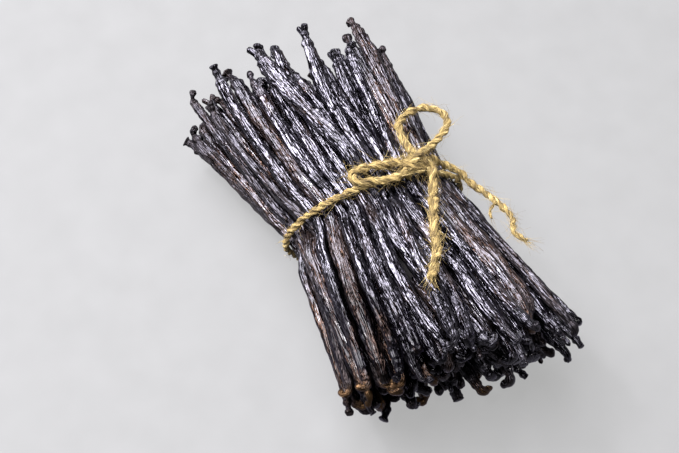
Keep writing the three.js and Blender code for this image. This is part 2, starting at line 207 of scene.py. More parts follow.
@dataclass
class Course:
    """A line with two side directions at each point, which turn as little as can be."""

    points: np.ndarray
    outward: np.ndarray

    def __post_init__(self) -> None:
        """Carry the outward side along the line."""
        self.along = distances(self.points)
        self.tangents = unit(np.gradient(self.points, self.along, axis=0))
        sides = []
        side = np.asarray(self.outward, float)
        for tangent in self.tangents:
            side = side - tangent * side.dot(tangent)
            side = side / max(math.sqrt(side.dot(side)), 1e-9)
            sides.append(side)
        self.sides = np.array(sides)
        self.ups = np.cross(self.tangents, self.sides)

    def rings(self, angles: np.ndarray, reach: np.ndarray) -> np.ndarray:
        """Rings of points round the line.

        Args:
            angles: The bearing of each point of a ring from the side direction, once or for each ring.
            reach: How far each point is from the line, one row for each ring.

        Returns:
            Points as rings x sides x 3.
        """
        angles = np.broadcast_to(angles, reach.shape)
        across = np.cos(angles)[..., None] * self.sides[:, None]
        across = across + np.sin(angles)[..., None] * self.ups[:, None]
        return self.points[:, None] + reach[..., None] * across


# ---- Meshes ----------------------------------------------------------------------------------


class Skin:
    """The surfaces of many tubes, joined in one mesh."""

    def __init__(self) -> None:
        """Start with nothing."""
        self.points: list[np.ndarray] = []
        self.faces: list[list[int]] = []
        self.values: dict[str, list[np.ndarray]] = {}
        self.count = 0
        self.triangles = 0

    def add_tube(self, rings: np.ndarray, **values: np.ndarray | float) -> None:
        """Add one tube that is closed at both ends.

        Args:
            rings: Points as rings x sides x 3, turning leftwards round the tube's direction.
            values: Named values kept at the points: one in all, one a ring as rings x 1, or one a
                point as rings x sides or rings x sides x 3.
        """
        many, sides = rings.shape[:2]
        self.points += [rings.reshape(-1, 3), rings[[0, -1]].mean(1)]
        for name, given in values.items():
            given = np.asarray(given, float)
            value = np.broadcast_to(given, (many, sides, *given.shape[2:]))
            flat = value.reshape(many * sides, -1)
            ends = value[[0, -1]].mean(1).reshape(2, -1)
            self.values.setdefault(name, []).append(np.concatenate([flat, ends]))
        here = self.count + np.arange(many * sides).reshape(many, sides)
        beside = np.roll(here, -1, axis=1)
        walls = np.stack([here[:-1], beside[:-1], beside[1:], here[1:]], axis=-1)
        first = self.count + many * sides
        self.faces += walls.reshape(-1, 4).tolist()
        self.faces += [[first, b, a] for a, b in zip(here[0].tolist(), beside[0].tolist())]
        self.faces += [[first + 1, a, b] for a, b in zip(here[-1].tolist(), beside[-1].tolist())]
        self.count += many * sides + 2
        self.triangles += 2 * many * sides

    def build(self, name: str) -> bpy.types.Object:
        """Make the mesh object, in metres."""
        mesh = bpy.data.meshes.new(name)
        mesh.from_pydata((np.concatenate(self.points) * MM).tolist(), [], self.faces)
        for key, parts in self.values.items():
            stacked = np.concatenate(parts).astype(np.float32)
            is_place = stacked.shape[1] == 3
            kept = mesh.attributes.new(key, "FLOAT_VECTOR" if is_place else "FLOAT", "POINT")
            kept.data.foreach_set("vector" if is_place else "value", stacked.ravel())
        mesh.shade_smooth()
        return link(bpy.data.objects.new(name, mesh))


def link(piece: bpy.types.Object) -> bpy.types.Object:
    """Put an object in the scene."""
    bpy.context.scene.collection.objects.link(piece)
    return piece


def dress(
    piece: bpy.types.Object, material: bpy.types.Material, nodes: Sequence[str]
) -> bpy.types.Object:
    """Give a piece its material, its body and the solids that it stands for.

    Args:
        piece: The piece, in place.
        material: What it is made of.
        nodes: The solids that it replaces.

    Returns:
        The piece.
    """
    piece.data.materials.append(material)
    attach(piece, BODY)
    if nodes:
        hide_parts(*nodes)
    return piece


# ---- Shader maths ----------------------------------------------------------------------------


class Wire:
    """A value in a material's nodes that takes part in sums and products."""

    def __init__(self, painter: "Painter", socket: bpy.types.NodeSocket) -> None:
        """Wrap an output socket."""
        self.painter = painter
        self.socket = socket

    def __add__(self, other: "Wire | float") -> "Wire":
        """This value plus another."""
        return self.painter.maths("ADD", self, other)

    def __sub__(self, other: "Wire | float") -> "Wire":
        """This value minus another."""
        return self.painter.maths("SUBTRACT", self, other)

    def __rsub__(self, other: "Wire | float") -> "Wire":
        """Another value minus this one."""
        return self.painter.maths("SUBTRACT", other, self)

    def __mul__(self, other: "Wire | float") -> "Wire":
        """This value times another."""
        return self.painter.maths("MULTIPLY", self, other)

    __radd__ = __add__
    __rmul__ = __mul__


class Pattern(NamedTuple):
    """Noise on a skin: its scale, its third axis against the others, its detail and roughness."""

    scale: float
    drawn: float
    detail: float
    roughness: float = 0.5


class Onset(NamedTuple):
    """Where a look sets in: how far patches and streaks sway its value, and from where to where."""

    patches: float
    streaks: float
    low: float
    high: float


class Painter:
    """Builds one material out of nodes."""

    def __init__(self, name: str) -> None:
        """Start an empty material."""
        self.material = bpy.data.materials.new(name)
        self.material.use_nodes = True
        self.tree = self.material.node_tree
        self.tree.nodes.clear()

    def node(
        self, kind: str, settings: dict[str, Any] | None = None, **sockets: Any
    ) -> bpy.types.Node:
        """Add a node.

        Args:
            kind: The node's type, without ShaderNode in front.
            settings: The node's own settings, set before its sockets.
            sockets: Values or wires by the socket's name, with _ for a space, or _N for its index.

        Returns:
            The new node.
        """
        made = self.tree.nodes.new("ShaderNode" + kind)
        for key, value in (settings or {}).items():
            setattr(made, key, value)
        for key, value in sockets.items():
            name = int(key[1:]) if key[0] == "_" else key.replace("_", " ")
            if isinstance(value, Wire):
                self.tree.links.new(value.socket, made.inputs[name])
            else:
                made.inputs[name].default_value = value
        return made

    def wire(
        self,
        kind: str,
        output: str | int = 0,
        settings: dict[str, Any] | None = None,
        **sockets: Any,
    ) -> Wire:
        """Add a node and wrap one of its outputs."""
        return Wire(self, self.node(kind, settings, **sockets).outputs[output])

    def maths(self, operation: str, *values: "Wire | float") -> Wire:
        """Add a Math node on one, two or three values."""
        sockets = {f"_{k}": value for k, value in enumerate(values)}
        return self.wire("Math", 0, {"operation": operation}, **sockets)

    def attribute(self, name: str, output: str = "Fac") -> Wire:
        """A value that the mesh keeps at its points."""
        return self.wire("Attribute", output, {"attribute_name": name})

    def stretched(self, place: Wire, scale: Place) -> Wire:
        """A place with its three axes scaled."""
        return self.wire("VectorMath", 0, {"operation": "MULTIPLY"}, _0=place, _1=scale)

    def noise(self, place: Wire, scale: float, detail: float = 2.0, roughness: float = 0.5) -> Wire:
        """Smooth noise of about 0 to 1 at a place."""
        return self.wire("TexNoise", Vector=place, Scale=scale, Detail=detail, Roughness=roughness)

    def pattern(self, grain: Wire, pattern: Pattern) -> Wire:
        """A pattern of about 0 to 1 on a skin."""
        place = self.stretched(grain, (1.0, 1.0, pattern.drawn))
        return self.noise(place, pattern.scale, pattern.detail, pattern.roughness)

    def band(self, value: Wire, low: float, high: float) -> Wire:
        """How far a value has come from low to high, as 0 to 1."""
        settings = {"interpolation_type": "SMOOTHSTEP"}
        return self.wire("MapRange", 0, settings, _0=value, _1=low, _2=high)

    def set_in(self, value: Wire, onset: Onset, patches: Wire, streaks: Wire) -> Wire:
        """How far a look has set in, as 0 to 1.

        Args:
            value: What brings it about.
            onset: Where it sets in.
            patches: The skin's broad pattern.
            streaks: The skin's fine pattern.

        Returns:
            The share of the look.
        """
        swayed = value + onset.patches * (patches - 0.5) + onset.streaks * (streaks - 0.5)
        return self.band(swayed, onset.low, onset.high)

    def blend(self, share: "Wire | float", first: "Wire | Colour", second: "Wire | Colour") -> Wire:
        """A colour mixed from two."""
        pair = [value if isinstance(value, Wire) else (*value, 1.0) for value in (first, second)]
        return self.wire("Mix", 2, {"data_type": "RGBA"}, _0=share, _6=pair[0], _7=pair[1])

    def bump(self, height: Wire, distance: float) -> Wire:
        """A normal bent by a height."""
        return self.wire("Bump", Distance=distance, Height=height)

    def finish(self, **sockets: Any) -> bpy.types.Material:
        """Close the material with a Principled shader that has these sockets."""
        surface = self.wire("BsdfPrincipled", **sockets)
        self.node("OutputMaterial", Surface=surface)
        return self.material


# ---- The pods' places ------------------------------------------------------------------------


class Tone(Enum):
    """How a pod's skin looks: how brown it is, and how dusty."""

    BLACK = (0.22, 0.05)
    BROWN = (0.66, 0.2)
    DUSTY = (0.45, 0.6)


class TipForm(Enum):
    """How a pod's tip ends: its extra curl in radians, and the size of its nub against its neck."""

    NUB = (0.25, 1.1)
    CROOK = (1.6, 1.05)
    CURL = (2.5, 0.9)
    BLUNT = (0.1, 1.6)
    FORK = (0.6, 0.9)

    @property
    def curl(self) -> float:
        """How far the tip curls, besides its hook."""
        return self.value[0]

    @property
    def nub(self) -> float:
        """The size of the tip's end against its neck."""
        return self.value[1]


@dataclass(frozen=True)
class Section:
    """The bundle's half sizes, where its middle lies and how far off the waist the section is."""

    wide: float
    high: float
    up: float = 0.0
    at: float = 0.0
    aside: float = 0.0


class OuterPod(NamedTuple):
    """One of the outermost pods, where the bundle shows.

    First come its bearings round the bundle at the head, waist and foot, in degrees from straight
    up towards +Y. Then come how far out its head lies, both ends' distance from the waist, its
    girth against a middling pod, its skin, and its tips at the head and the foot.
    """

    head: float
    waist: float
    foot: float
    reach: float
    start: float
    stop: float
    girth: float
    tone: Tone
    tips: tuple[TipForm, TipForm]


OUTER_PODS = [
    OuterPod(-112, -112, -106, 1.2, -79, 90, 1.12, Tone.DUSTY, (TipForm.BLUNT, TipForm.CURL)),
    OuterPod(-101, -100, -97, 1.22, -81, 92, 1.05, Tone.DUSTY, (TipForm.CROOK, TipForm.CROOK)),
    OuterPod(-86, -88, -88, 1.05, -82, 93, 1.0, Tone.BROWN, (TipForm.CURL, TipForm.BLUNT)),
    OuterPod(-68, -76, -76, 1.05, -86, 90, 0.95, Tone.DUSTY, (TipForm.CROOK, TipForm.CURL)),
    OuterPod(-57, -65, -68, 1.0, -82, 94, 0.95, Tone.BROWN, (TipForm.FORK, TipForm.CROOK)),
    OuterPod(-38, -54, -58, 1.02, -86, 94, 1.1, Tone.BLACK, (TipForm.NUB, TipForm.CURL)),
    OuterPod(-28, -44, -47, 1.0, -86, 92, 1.15, Tone.BROWN, (TipForm.BLUNT, TipForm.CROOK)),
    OuterPod(-26, -34, -36, 0.96, -72, 98, 1.0, Tone.BLACK, (TipForm.CROOK, TipForm.NUB)),
    OuterPod(-12, -24, -29, 0.98, -88, 94, 1.0, Tone.BLACK, (TipForm.NUB, TipForm.CURL)),
    OuterPod(-5, -15, -20, 1.0, -90, 92, 1.0, Tone.BLACK, (TipForm.CURL, TipForm.FORK)),
    OuterPod(-21, -6, 2, 1.14, -84, 100, 1.26, Tone.BLACK, (TipForm.FORK, TipForm.CURL)),
    OuterPod(13, 4, -6, 1.02, -88, 96, 1.05, Tone.BLACK, (TipForm.FORK, TipForm.CROOK)),
    OuterPod(19, 14, 12, 0.98, -76, 98, 1.0, Tone.BLACK, (TipForm.CROOK, TipForm.BLUNT)),
    OuterPod(27, 25, 24, 1.0, -79, 101, 1.0, Tone.BLACK, (TipForm.CURL, TipForm.CROOK)),
    OuterPod(37, 36, 36, 1.0, -85, 96, 1.05, Tone.BROWN, (TipForm.BLUNT, TipForm.CURL)),
    OuterPod(54, 48, 50, 1.06, -98, 84, 1.14, Tone.BROWN, (TipForm.NUB, TipForm.NUB)),
    OuterPod(58, 61, 63, 1.0, -78, 96, 1.0, Tone.DUSTY, (TipForm.FORK, TipForm.CURL)),
    OuterPod(73, 75, 76, 1.06, -74, 91, 1.05, Tone.BLACK, (TipForm.CROOK, TipForm.CROOK)),
]


@dataclass
class Layout:
    """Where each pod runs, in millimetres: its seat in the bundle, settled against the others."""

    seed: int = 20
    pod_count: int = 84
    pod_radius: float = 3.45
    pod_length: tuple[float, float] = (166, 184)
    girth: tuple[float, float] = (0.86, 1.12)
    waist: Section = Section(41.5, 29, up=33)
    head: Section = Section(52, 36, at=-95)
    foot: Section = Section(52, 39, at=88, aside=-5)
    flare_most: float = 1.25
    sunk: float = 1.5
    sunk_from: float = 90
    sunk_power: float = 1.2
    waist_place: tuple[float, float] = (-4.7, 5.6)
    ground_press: float = 0.2
    tie_length: float = 9
    skew: float = 0.17
    end_skew: float = 0.05
    end_slope: float = 8
    middles_at: float = 5
    middles_spread: float = 8
    loose_middle: float = 0.06
    loose_rim: float = 0.1
    loose_most: float = 1.03
    wave_most: float = 0.9
    wave_length: float = 85
    sway_most: float = 6
    sway_along: float = 34
    sway_past: float = 1.3
    hook_most: float = math.radians(105)
    hook_length: float = 9
    rounds: int = 90
    bending_rounds: int = 82
    packing: float = 0.97
    push: float = 0.3
    bending: float = 0.4
    overhang: float = 10
    first_station: float = -112.0
    station_step: float = 8
    station_count: int = 28
    end_gap: float = 1

    def __post_init__(self) -> None:
        """Seat the pods and let them settle."""
        self.stations = self.first_station + self.station_step * np.arange(self.station_count)
        self.across: list[list[list[float]]] = []
        self.ends: list[tuple[float, float]] = []
        self.radii: list[float] = []
        self.sides: list[list[list[float]]] = []
        self.sways: list[list[float]] = []
        self.hooks: list[list[float]] = []
        self.waves: list[list[list[float]]] = []
        self.seat_pods(Draws(self.seed))
        self.radius = np.array(self.radii)
        self.start, self.stop = np.array(self.ends).T
        self.courses = self.settle()

    def draw_habit(self, draw: Draws) -> None:
        """Draw how a pod strays from a straight stick and how its tips bend.

        The solids' pods each draw their roll last, so one more number is drawn and passed over.
        """
        sides, sways, hooks = [], [], []
        for _ in range(2):
            bearing = TURN * draw()
            sides.append([math.sin(bearing), math.cos(bearing)])
            sways.append(self.sway_most * draw())
            hooks.append(self.hook_most * draw() ** 2)
        self.waves.append([[self.wave_most * draw(), TURN * draw()] for _ in range(2)])
        self.sides.append(sides)
        self.sways.append(sways)
        self.hooks.append(hooks)
        draw()

    def seat_pods(self, draw: Draws) -> None:
        """Give each pod its place across the bundle at the head, waist and foot, and both ends."""
        for outer in OUTER_PODS:
            places = [(outer.head, outer.reach), (outer.waist, 1.0), (outer.foot, 1.0)]
            self.across.append([self.spoke(math.radians(turn), out) for turn, out in places])
            self.ends.append((outer.start, outer.stop))
            self.radii.append(self.pod_radius * outer.girth)
            self.draw_habit(draw)
        inner = self.pod_count - len(OUTER_PODS)
        golden_angle = math.pi * (3 - math.sqrt(5))
        for k in range(inner):
            out = math.sqrt((k + 0.5) / inner)
            waist = self.spoke(k * golden_angle, out)
            loose = self.loose_middle + self.loose_rim * out
            head, foot = (self.near(waist, loose, draw) for _ in range(2))
            self.across.append([head, waist, foot])
            half = mix(*self.pod_length, draw()) / 2
            middle = self.middles_at + self.end_skew * self.waist.wide * waist[0]
            middle += self.end_slope * waist[1]
            middle += self.middles_spread * (draw() - 0.5)
            self.ends.append((middle - half, middle + half))
            self.radii.append(self.pod_radius * mix(*self.girth, draw()))
            self.draw_habit(draw)

    @staticmethod
    def spoke(turn: float, out: float) -> list[float]:
        """The place across the bundle at a bearing, in radians, and a share of the way out."""
        return [out * math.sin(turn), out * math.cos(turn)]

    def near(self, place: list[float], loose: float, draw: Draws) -> list[float]:
        """A place a little away from another and still inside the bundle."""
        moved = [value + loose * (2 * draw() - 1) for value in place]
        over = max(1, math.hypot(*moved) / self.loose_most)
        return [value / over for value in moved]

    def outline(self, s: np.ndarray) -> tuple[np.ndarray, np.ndarray, np.ndarray, np.ndarray]:
        """The bundle's half width and half height, and its middle's height and side place, at s."""
        s = np.asarray(s, float)
        at = np.where(s < 0, self.head.at, self.foot.at)
        share = np.minimum(self.flare_most, s / at)
        wide = mix(self.waist.wide, np.where(s < 0, self.head.wide, self.foot.wide), share)
        high = mix(self.waist.high, np.where(s < 0, self.head.high, self.foot.high), share)
        down = np.minimum(1, np.abs(s) / self.sunk_from) ** self.sunk_power
        aside = share * np.where(s < 0, self.head.aside, self.foot.aside)
        return wide, high, mix(self.waist.up, high - self.sunk, down), aside

    def loose_courses(self) -> np.ndarray:
        """Each pod's y and z at each station before it settles, as pods x stations x 2."""
        s = self.stations
        t = s / -self.head.at
        weights = np.stack([t * (t - 1) / 2, 1 - t * t, t * (t + 1) / 2])
        wide, high, up, aside = self.outline(s)
        halves = np.stack([wide, high], -1)[None] - self.radius[:, None, None]
        places = np.einsum("ks,pka->psa", weights, np.array(self.across)) * halves
        places += np.stack([aside, up], -1)
        sides, sways = np.array(self.sides), np.array(self.sways)
        for end, distance in enumerate([s - self.start[:, None], self.stop[:, None] - s]):
            near = np.clip(1 - distance / self.sway_along, 0, self.sway_past) ** 2
            places += (sides[:, end] * sways[:, end, None])[:, None] * near[..., None]
        size, phase = np.moveaxis(np.array(self.waves), -1, 0)
        turns = TURN * s[None, :, None] / self.wave_length + phase[:, None]
        return places + size[:, None] * np.sin(turns)

    def hold(self, courses: np.ndarray) -> None:
        """Keep the pods inside the tie and above the ground."""
        tied = np.abs(self.stations) < self.tie_length
        middle = np.array([0, self.waist.up])
        halves = np.array([self.waist.wide, self.waist.high]) - self.radius[:, None]
        out = (courses[:, tied] - middle) / halves[:, None]
        over = np.maximum(1, np.linalg.norm(out, axis=-1, keepdims=True))
        courses[:, tied] = middle + (courses[:, tied] - middle) / over
        self.keep_up(courses)

    def keep_up(self, courses: np.ndarray) -> None:
        """Keep the pods above the ground."""
        low = self.radius[:, None] - self.ground_press
        courses[..., 1] = np.maximum(courses[..., 1], low)

    def settle(self) -> np.ndarray:
        """Let the pods push each other apart until they lie side by side."""
        loose = self.loose_courses()
        courses = loose.copy()
        inside = (self.stations > self.start[:, None] - self.overhang) & (
            self.stations < self.stop[:, None] + self.overhang
        )
        pairs = inside[:, None] & inside[None]
        pairs[np.arange(self.pod_count), np.arange(self.pod_count)] = False
        room = self.packing * (self.radius[:, None] + self.radius[None])[..., None]
        for round_ in range(self.rounds):
            gaps = courses[:, None] - courses[None]
            apart = np.maximum(np.linalg.norm(gaps, axis=-1), 1e-6)
            push = np.where(pairs & (apart < room), self.push * (room - apart) / apart, 0)
            courses = courses + (push[..., None] * gaps).sum(1)
            self.hold(courses)
            if round_ < self.bending_rounds:
                courses = self.straighten(courses, loose)
        return courses

    def straighten(self, courses: np.ndarray, loose: np.ndarray) -> np.ndarray:
        """Even out how far each pod has been pushed, from station to station."""
        shift = courses - loose
        middle = np.empty_like(shift)
        middle[:, 1:-1] = (shift[:, :-2] + shift[:, 2:]) / 2
        middle[:, 0], middle[:, -1] = shift[:, 1], shift[:, -2]
        courses = loose + mix(shift, middle, self.bending)
        self.keep_up(courses)
        return courses

    def point(self, s: Any, y: Any, z: Any) -> np.ndarray:
        """Points of the bundle: s along it from the waist, in the skewed planes."""
        x = self.waist_place[0] + s + self.skew * y
        return np.stack([x, self.waist_place[1] + y, z], -1)

    def place(self, pod: int, s: np.ndarray) -> np.ndarray:
        """Where a pod's middle lies at distances s from the waist."""
        y, z = (np.interp(s, self.stations, self.courses[pod, :, axis]) for axis in (0, 1))
        return self.point(s, y, z)

    def body_line(self, pod: int) -> np.ndarray:
        """The points of a pod's middle line without its bent tips."""
        start, stop = self.start[pod] + self.hook_length, self.stop[pod] - self.hook_length
        clear = (self.stations > start + self.end_gap) & (self.stations < stop - self.end_gap)
        return self.place(pod, np.concatenate([[start], self.stations[clear], [stop]]))

    def tight_point(self, s: float, bearing: float, off: float) -> np.ndarray:
        """Where a cord pulled tight round the pods touches.

        Args:
            s: The distance along the bundle from the waist.
            bearing: The bearing round the bundle, in radians.
            off: How far the point lies out from the pods.

        Returns:
            The point, in millimetres.
        """
        normal = np.array([math.sin(bearing), math.cos(bearing)])
        j = int(np.clip((s - self.first_station) // self.station_step, 0, self.station_count - 2))
        t = (s - self.stations[j]) / self.station_step
        places = mix(self.courses[:, j], self.courses[:, j + 1], t)
        best = int(np.argmax(places @ normal + self.radius))
        y, z = places[best] + (self.radius[best] + off) * normal
        return self.point(s, y, z)


# ---- The pods --------------------------------------------------------------------------------


@dataclass(frozen=True)
class PodSkin:
    """The oily, wrinkled skin of a cured pod.

    The mesh keeps four values at its points: grain, a place on the skin in millimetres with its
    third axis along the pod; tone and bloom, how brown and dusty the skin is there; and a fourth,
    how dull it is, which is painted shade at the foot and low on the bundle's left side, and duller
    skin near the head tip. So dark a skin hardly shines when it is metallic, which paints shade
    into its creases, at the foot and on the low left side, and dulls the head end.
    """

    name: str
    dark: Colour = (0.0012, 0.001, 0.0014)
    brown: Colour = (0.0145, 0.0088, 0.0064)
    bloom: Colour = (0.013, 0.0108, 0.0108)
    amber: Colour = (0.046, 0.026, 0.012)
    gloss: float = 0.34
    matt: float = 0.45
    crease_gloss: float = -0.18
    coat: float = 0.22
    coat_gloss: float = 0.06
    reflect: float = 0.82
    glint: Colour = (0.88, 0.84, 1.0)
    relief: float = 0.001
    streaks: Pattern = Pattern(0.8, 0.16, 1.0, 0.4)
    pimples: Pattern = Pattern(1.3, 0.4, 0.0)
    patches: Pattern = Pattern(0.16, 0.35, 3.0, 0.6)
    # The lines and dashes, cut at hollow, make a mask that paints shade into the creases.
    lines: Pattern = Pattern(2.0, 0.06, 1.0)
    dashes: Pattern = Pattern(1.0, 0.5, 1.0)
    heights: tuple[float, float, float] = (0.3, 0.5, 0.2)
    dash: float = 0.25
    hollow: float = 0.52
    edge: float = 0.02
    browned: Onset = Onset(1.5, 0.6, 0.3, 0.9)
    dusted: Onset = Onset(0.8, 0.9, 0.3, 1.1)
    ripened: Onset = Onset(0.0, 1.2, 1.0, 2.1)
    dried: Onset = Onset(1.1, 0.5, 0.0, 1.0)
    dry_tone: float = 0.35

    def material(self) -> bpy.types.Material:
        """The material with its nodes."""
        paint = Painter(self.name)
        grain = paint.attribute("grain", "Vector")
        tone, bloom, worn = (paint.attribute(name) for name in ("tone", "bloom", "worn"))
        kinds = (self.streaks, self.pimples, self.patches, self.lines, self.dashes)
        streaks, pimples, patches, lines, dashes = (paint.pattern(grain, kind) for kind in kinds)
        height = self.heights[0] * streaks + self.heights[1] * pimples + self.heights[2] * patches
        # Painted shade: where the crease mask is on, the skin turns dark metallic and loses its coat.
        broken = lines + self.dash * (dashes - 0.5)
        creased = paint.band(broken, self.hollow - self.edge, self.hollow + self.edge)
        browned = paint.set_in(tone, self.browned, patches, streaks)
        dusted = paint.set_in(bloom, self.dusted, patches, streaks)
        ripened = paint.set_in(tone, self.ripened, patches, streaks)
        dry = paint.set_in(bloom + self.dry_tone * tone, self.dried, patches, pimples)
        skin = paint.blend(browned, self.dark, self.brown)
        skin = paint.blend(dusted, skin, self.bloom)
        skin = paint.blend(ripened, skin, self.amber)
        # Metallic paints shade: dark metallic skin hardly shines, in the creases, at the foot and low
        # left.
        return paint.finish(
            Base_Color=skin,
            Roughness=self.gloss + (self.matt - self.gloss) * dry + self.crease_gloss * creased,
            Metallic=worn + (1.0 - worn) * creased,
            Specular_IOR_Level=self.reflect,
            Specular_Tint=(*self.glint, 1),
            Coat_Weight=self.coat * (1.0 - dry) * (1.0 - creased),
            Coat_Roughness=self.coat_gloss,
            Normal=paint.bump(height, self.relief),
        )


@dataclass
class Tip:
    """One end of a pod: how it bends away and what it ends in."""

    form: TipForm
    side: np.ndarray
    hook: float
    length: float
    twist: float

    STEPS = 12
    CURL_FROM = 0.35

    def line(self, start: np.ndarray, along: np.ndarray, low: float) -> np.ndarray:
        """The tip's middle line, from the end of the body outwards.

        Args:
            start: The end of the body.
            along: The direction in which the body ends.
            low: The height under which no point may lie.

        Returns:
            Points, without the start.
        """
        side = unit(self.side - along * self.side.dot(along))
        shares = (np.arange(self.STEPS) + 0.5) / self.STEPS
        curl = self.form.curl * ease((shares - self.CURL_FROM) / (1 - self.CURL_FROM))
        turns = (self.hook * shares + curl)[:, None]
        twists = (self.twist * shares)[:, None]
        aim = np.cos(twists) * side + np.sin(twists) * np.cross(along, side)
        step = self.length / self.STEPS
        points = start + np.cumsum(step * (np.cos(turns) * along + np.sin(turns) * aim), axis=0)
        points[:, 2] = np.maximum(points[:, 2], low)
        return points


# The girth at the foot of the pods that are mostly hidden: distances from the end and shares.
FULL_FOOT = (
    (0, 0.14), (0.1, 0.38), (0.4, 0.52), (1.3, 0.58), (2.6, 0.58), (4.5, 0.62), (8, 0.78),
    (13, 0.92), (20, 0.98), (36, 1.0),
)


@dataclass
class PodShape:
    """The form of one pod's skin, in millimetres and in shares of its radius.

    A ridge or crumple is cells round the pod, a length, a depth and, for a ridge, a width. A girth
    stop is a distance from the pod's end and the girth there.
    """

    sides: int = 76
    tip_rings: int = 24
    body_rings: int = 76
    tip_zone: float = 14
    crowding: float = 1.5
    wide: float = 1.08
    thin: float = 0.80
    thin_sway: float = 0.09
    thin_period: float = 60
    roll_sway: float = 0.35
    roll_period: float = 120
    roll_spread: float = 1.4
    lump: float = 0.05
    lump_period: float = 38
    gnarl: float = 0.27
    gnarl_period: float = 4.5
    gnarl_zone: float = 20
    nub_zone: float = 3.4
    full: tuple[float, float] = (1.6, 0.75)
    furrow_depth: float = 0.16
    furrow_width: float = 0.55
    furrow_period: float = 70
    furrow_drift: float = 0.5
    furrow_drift_period: float = 90
    ridges: tuple[tuple[int, float, float, float], ...] = (
        (8, 28.0, 0.10, 0.36), (15, 16.0, 0.09, 0.30), (23, 8.0, 0.08, 0.36),
    )
    crumples: tuple[tuple[int, float, float], ...] = ((6, 4.5, 0.06), (11, 2.6, 0.045))
    head_stops: Pairs = (
        (0, 0.14), (0.1, 0.34), (0.4, 0.46), (1.0, 0.49), (2.0, 0.48), (3.4, 0.46), (5.0, 0.52),
        (7.0, 0.67), (9.5, 0.84), (14, 0.96), (22, 1.0),
    )
    foot_stops: Pairs = (
        (0, 0.14), (0.1, 0.34), (0.4, 0.44), (1.2, 0.46), (2.6, 0.43), (4.5, 0.44), (7.5, 0.56),
        (11, 0.74), (16, 0.90), (26, 1.0),
    )
    longest: float = 400

    def stops(self, long: float) -> np.ndarray:
        """Distances along the pod at which it has rings, closer together at its tips."""
        tip = self.tip_zone * (np.linspace(0, 1, self.tip_rings) ** self.crowding)
        body = np.linspace(self.tip_zone, long - self.tip_zone, self.body_rings + 2)[1:-1]
        return np.concatenate([tip, body, long - tip[::-1]])

    def girth(self, along: np.ndarray, tips: Sequence[Tip]) -> np.ndarray:
        """The pod's girth along its length as a share of its radius."""
        ends = []
        for stops, distance, tip in zip(
            (self.head_stops, self.foot_stops), (along, along[-1] - along), tips
        ):
            at, size = np.array(stops).T
            swell = 1 + (tip.form.nub - 1) * ease(1 - distance / self.nub_zone)
            ends.append(np.interp(distance, at, size) * swell)
        return ends[0] * ends[1]

    def oval(
        self, angles: np.ndarray, along: np.ndarray, full: np.ndarray, rng: Rng
    ) -> np.ndarray:
        """How far the flattened section's rim lies from the middle, as rings x sides."""
        roll = self.roll_sway * ripple(along, self.roll_period, rng)
        roll = roll + self.roll_spread * (rng.random() - 0.5)
        thin = self.thin * (1 + self.thin_sway * ripple(along, self.thin_period, rng))
        flat, wide = mix(1.0, thin, full)[:, None], mix(1.0, self.wide, full)[:, None]
        around = angles[None] - roll[:, None]
        return 1 / np.sqrt((np.cos(around) / flat) ** 2 + (np.sin(around) / wide) ** 2)

    def relief(
        self, angles: np.ndarray, along: np.ndarray, full: np.ndarray, rng: Rng
    ) -> np.ndarray:
        """The furrow, ridges and crumples, as shares of the skin's distance from the middle."""
        depth = self.furrow_depth * full * (0.5 + 0.5 * ripple(along, self.furrow_period, rng))
        bearing = TURN * rng.random()
        bearing = bearing + self.furrow_drift * ripple(along, self.furrow_drift_period, rng)
        apart = (angles[None] - bearing[:, None] + math.pi) % TURN - math.pi
        relief = -depth[:, None] * np.exp(-((apart / self.furrow_width) ** 2))
        for cells, length, depth, width in self.ridges:
            noise = creased(angles, along, cells, length, rng)
            relief = relief - depth * np.exp(-((noise / width) ** 2))
        for cells, length, depth in self.crumples:
            relief = relief + depth * creased(angles, along, cells, length, rng)
        return relief

    def skin(
        self, course: Course, radius: float, tips: Sequence[Tip], rng: Rng
    ) -> tuple[np.ndarray, np.ndarray]:
        """The pod's skin as rings round its middle line.

        Args:
            course: The middle line.
            radius: The pod's radius at its fullest.
            tips: The pod's two ends.
            rng: Where its creases come from.

        Returns:
            The points, and each point's place on the skin with its third axis along the pod.
        """
        along = course.along
        angles = bearings(self.sides)
        shares = self.girth(along, tips)
        girth = radius * shares * (1 + self.lump * ripple(along, self.lump_period, rng))
        tipward = ease(1 - np.minimum(along, along[-1] - along) / self.gnarl_zone)
        girth = girth * (1 + self.gnarl * tipward * ripple(along, self.gnarl_period, rng))
        full = ease(shares * self.full[0] - self.full[1])
        oval = self.oval(angles, along, full, rng)
        reach = girth[:, None] * oval * (1 + self.relief(angles, along, full, rng))
        start = self.longest * rng.random()
        return course.rings(angles, reach), grain_of(radius, angles[None], start + along[:, None])


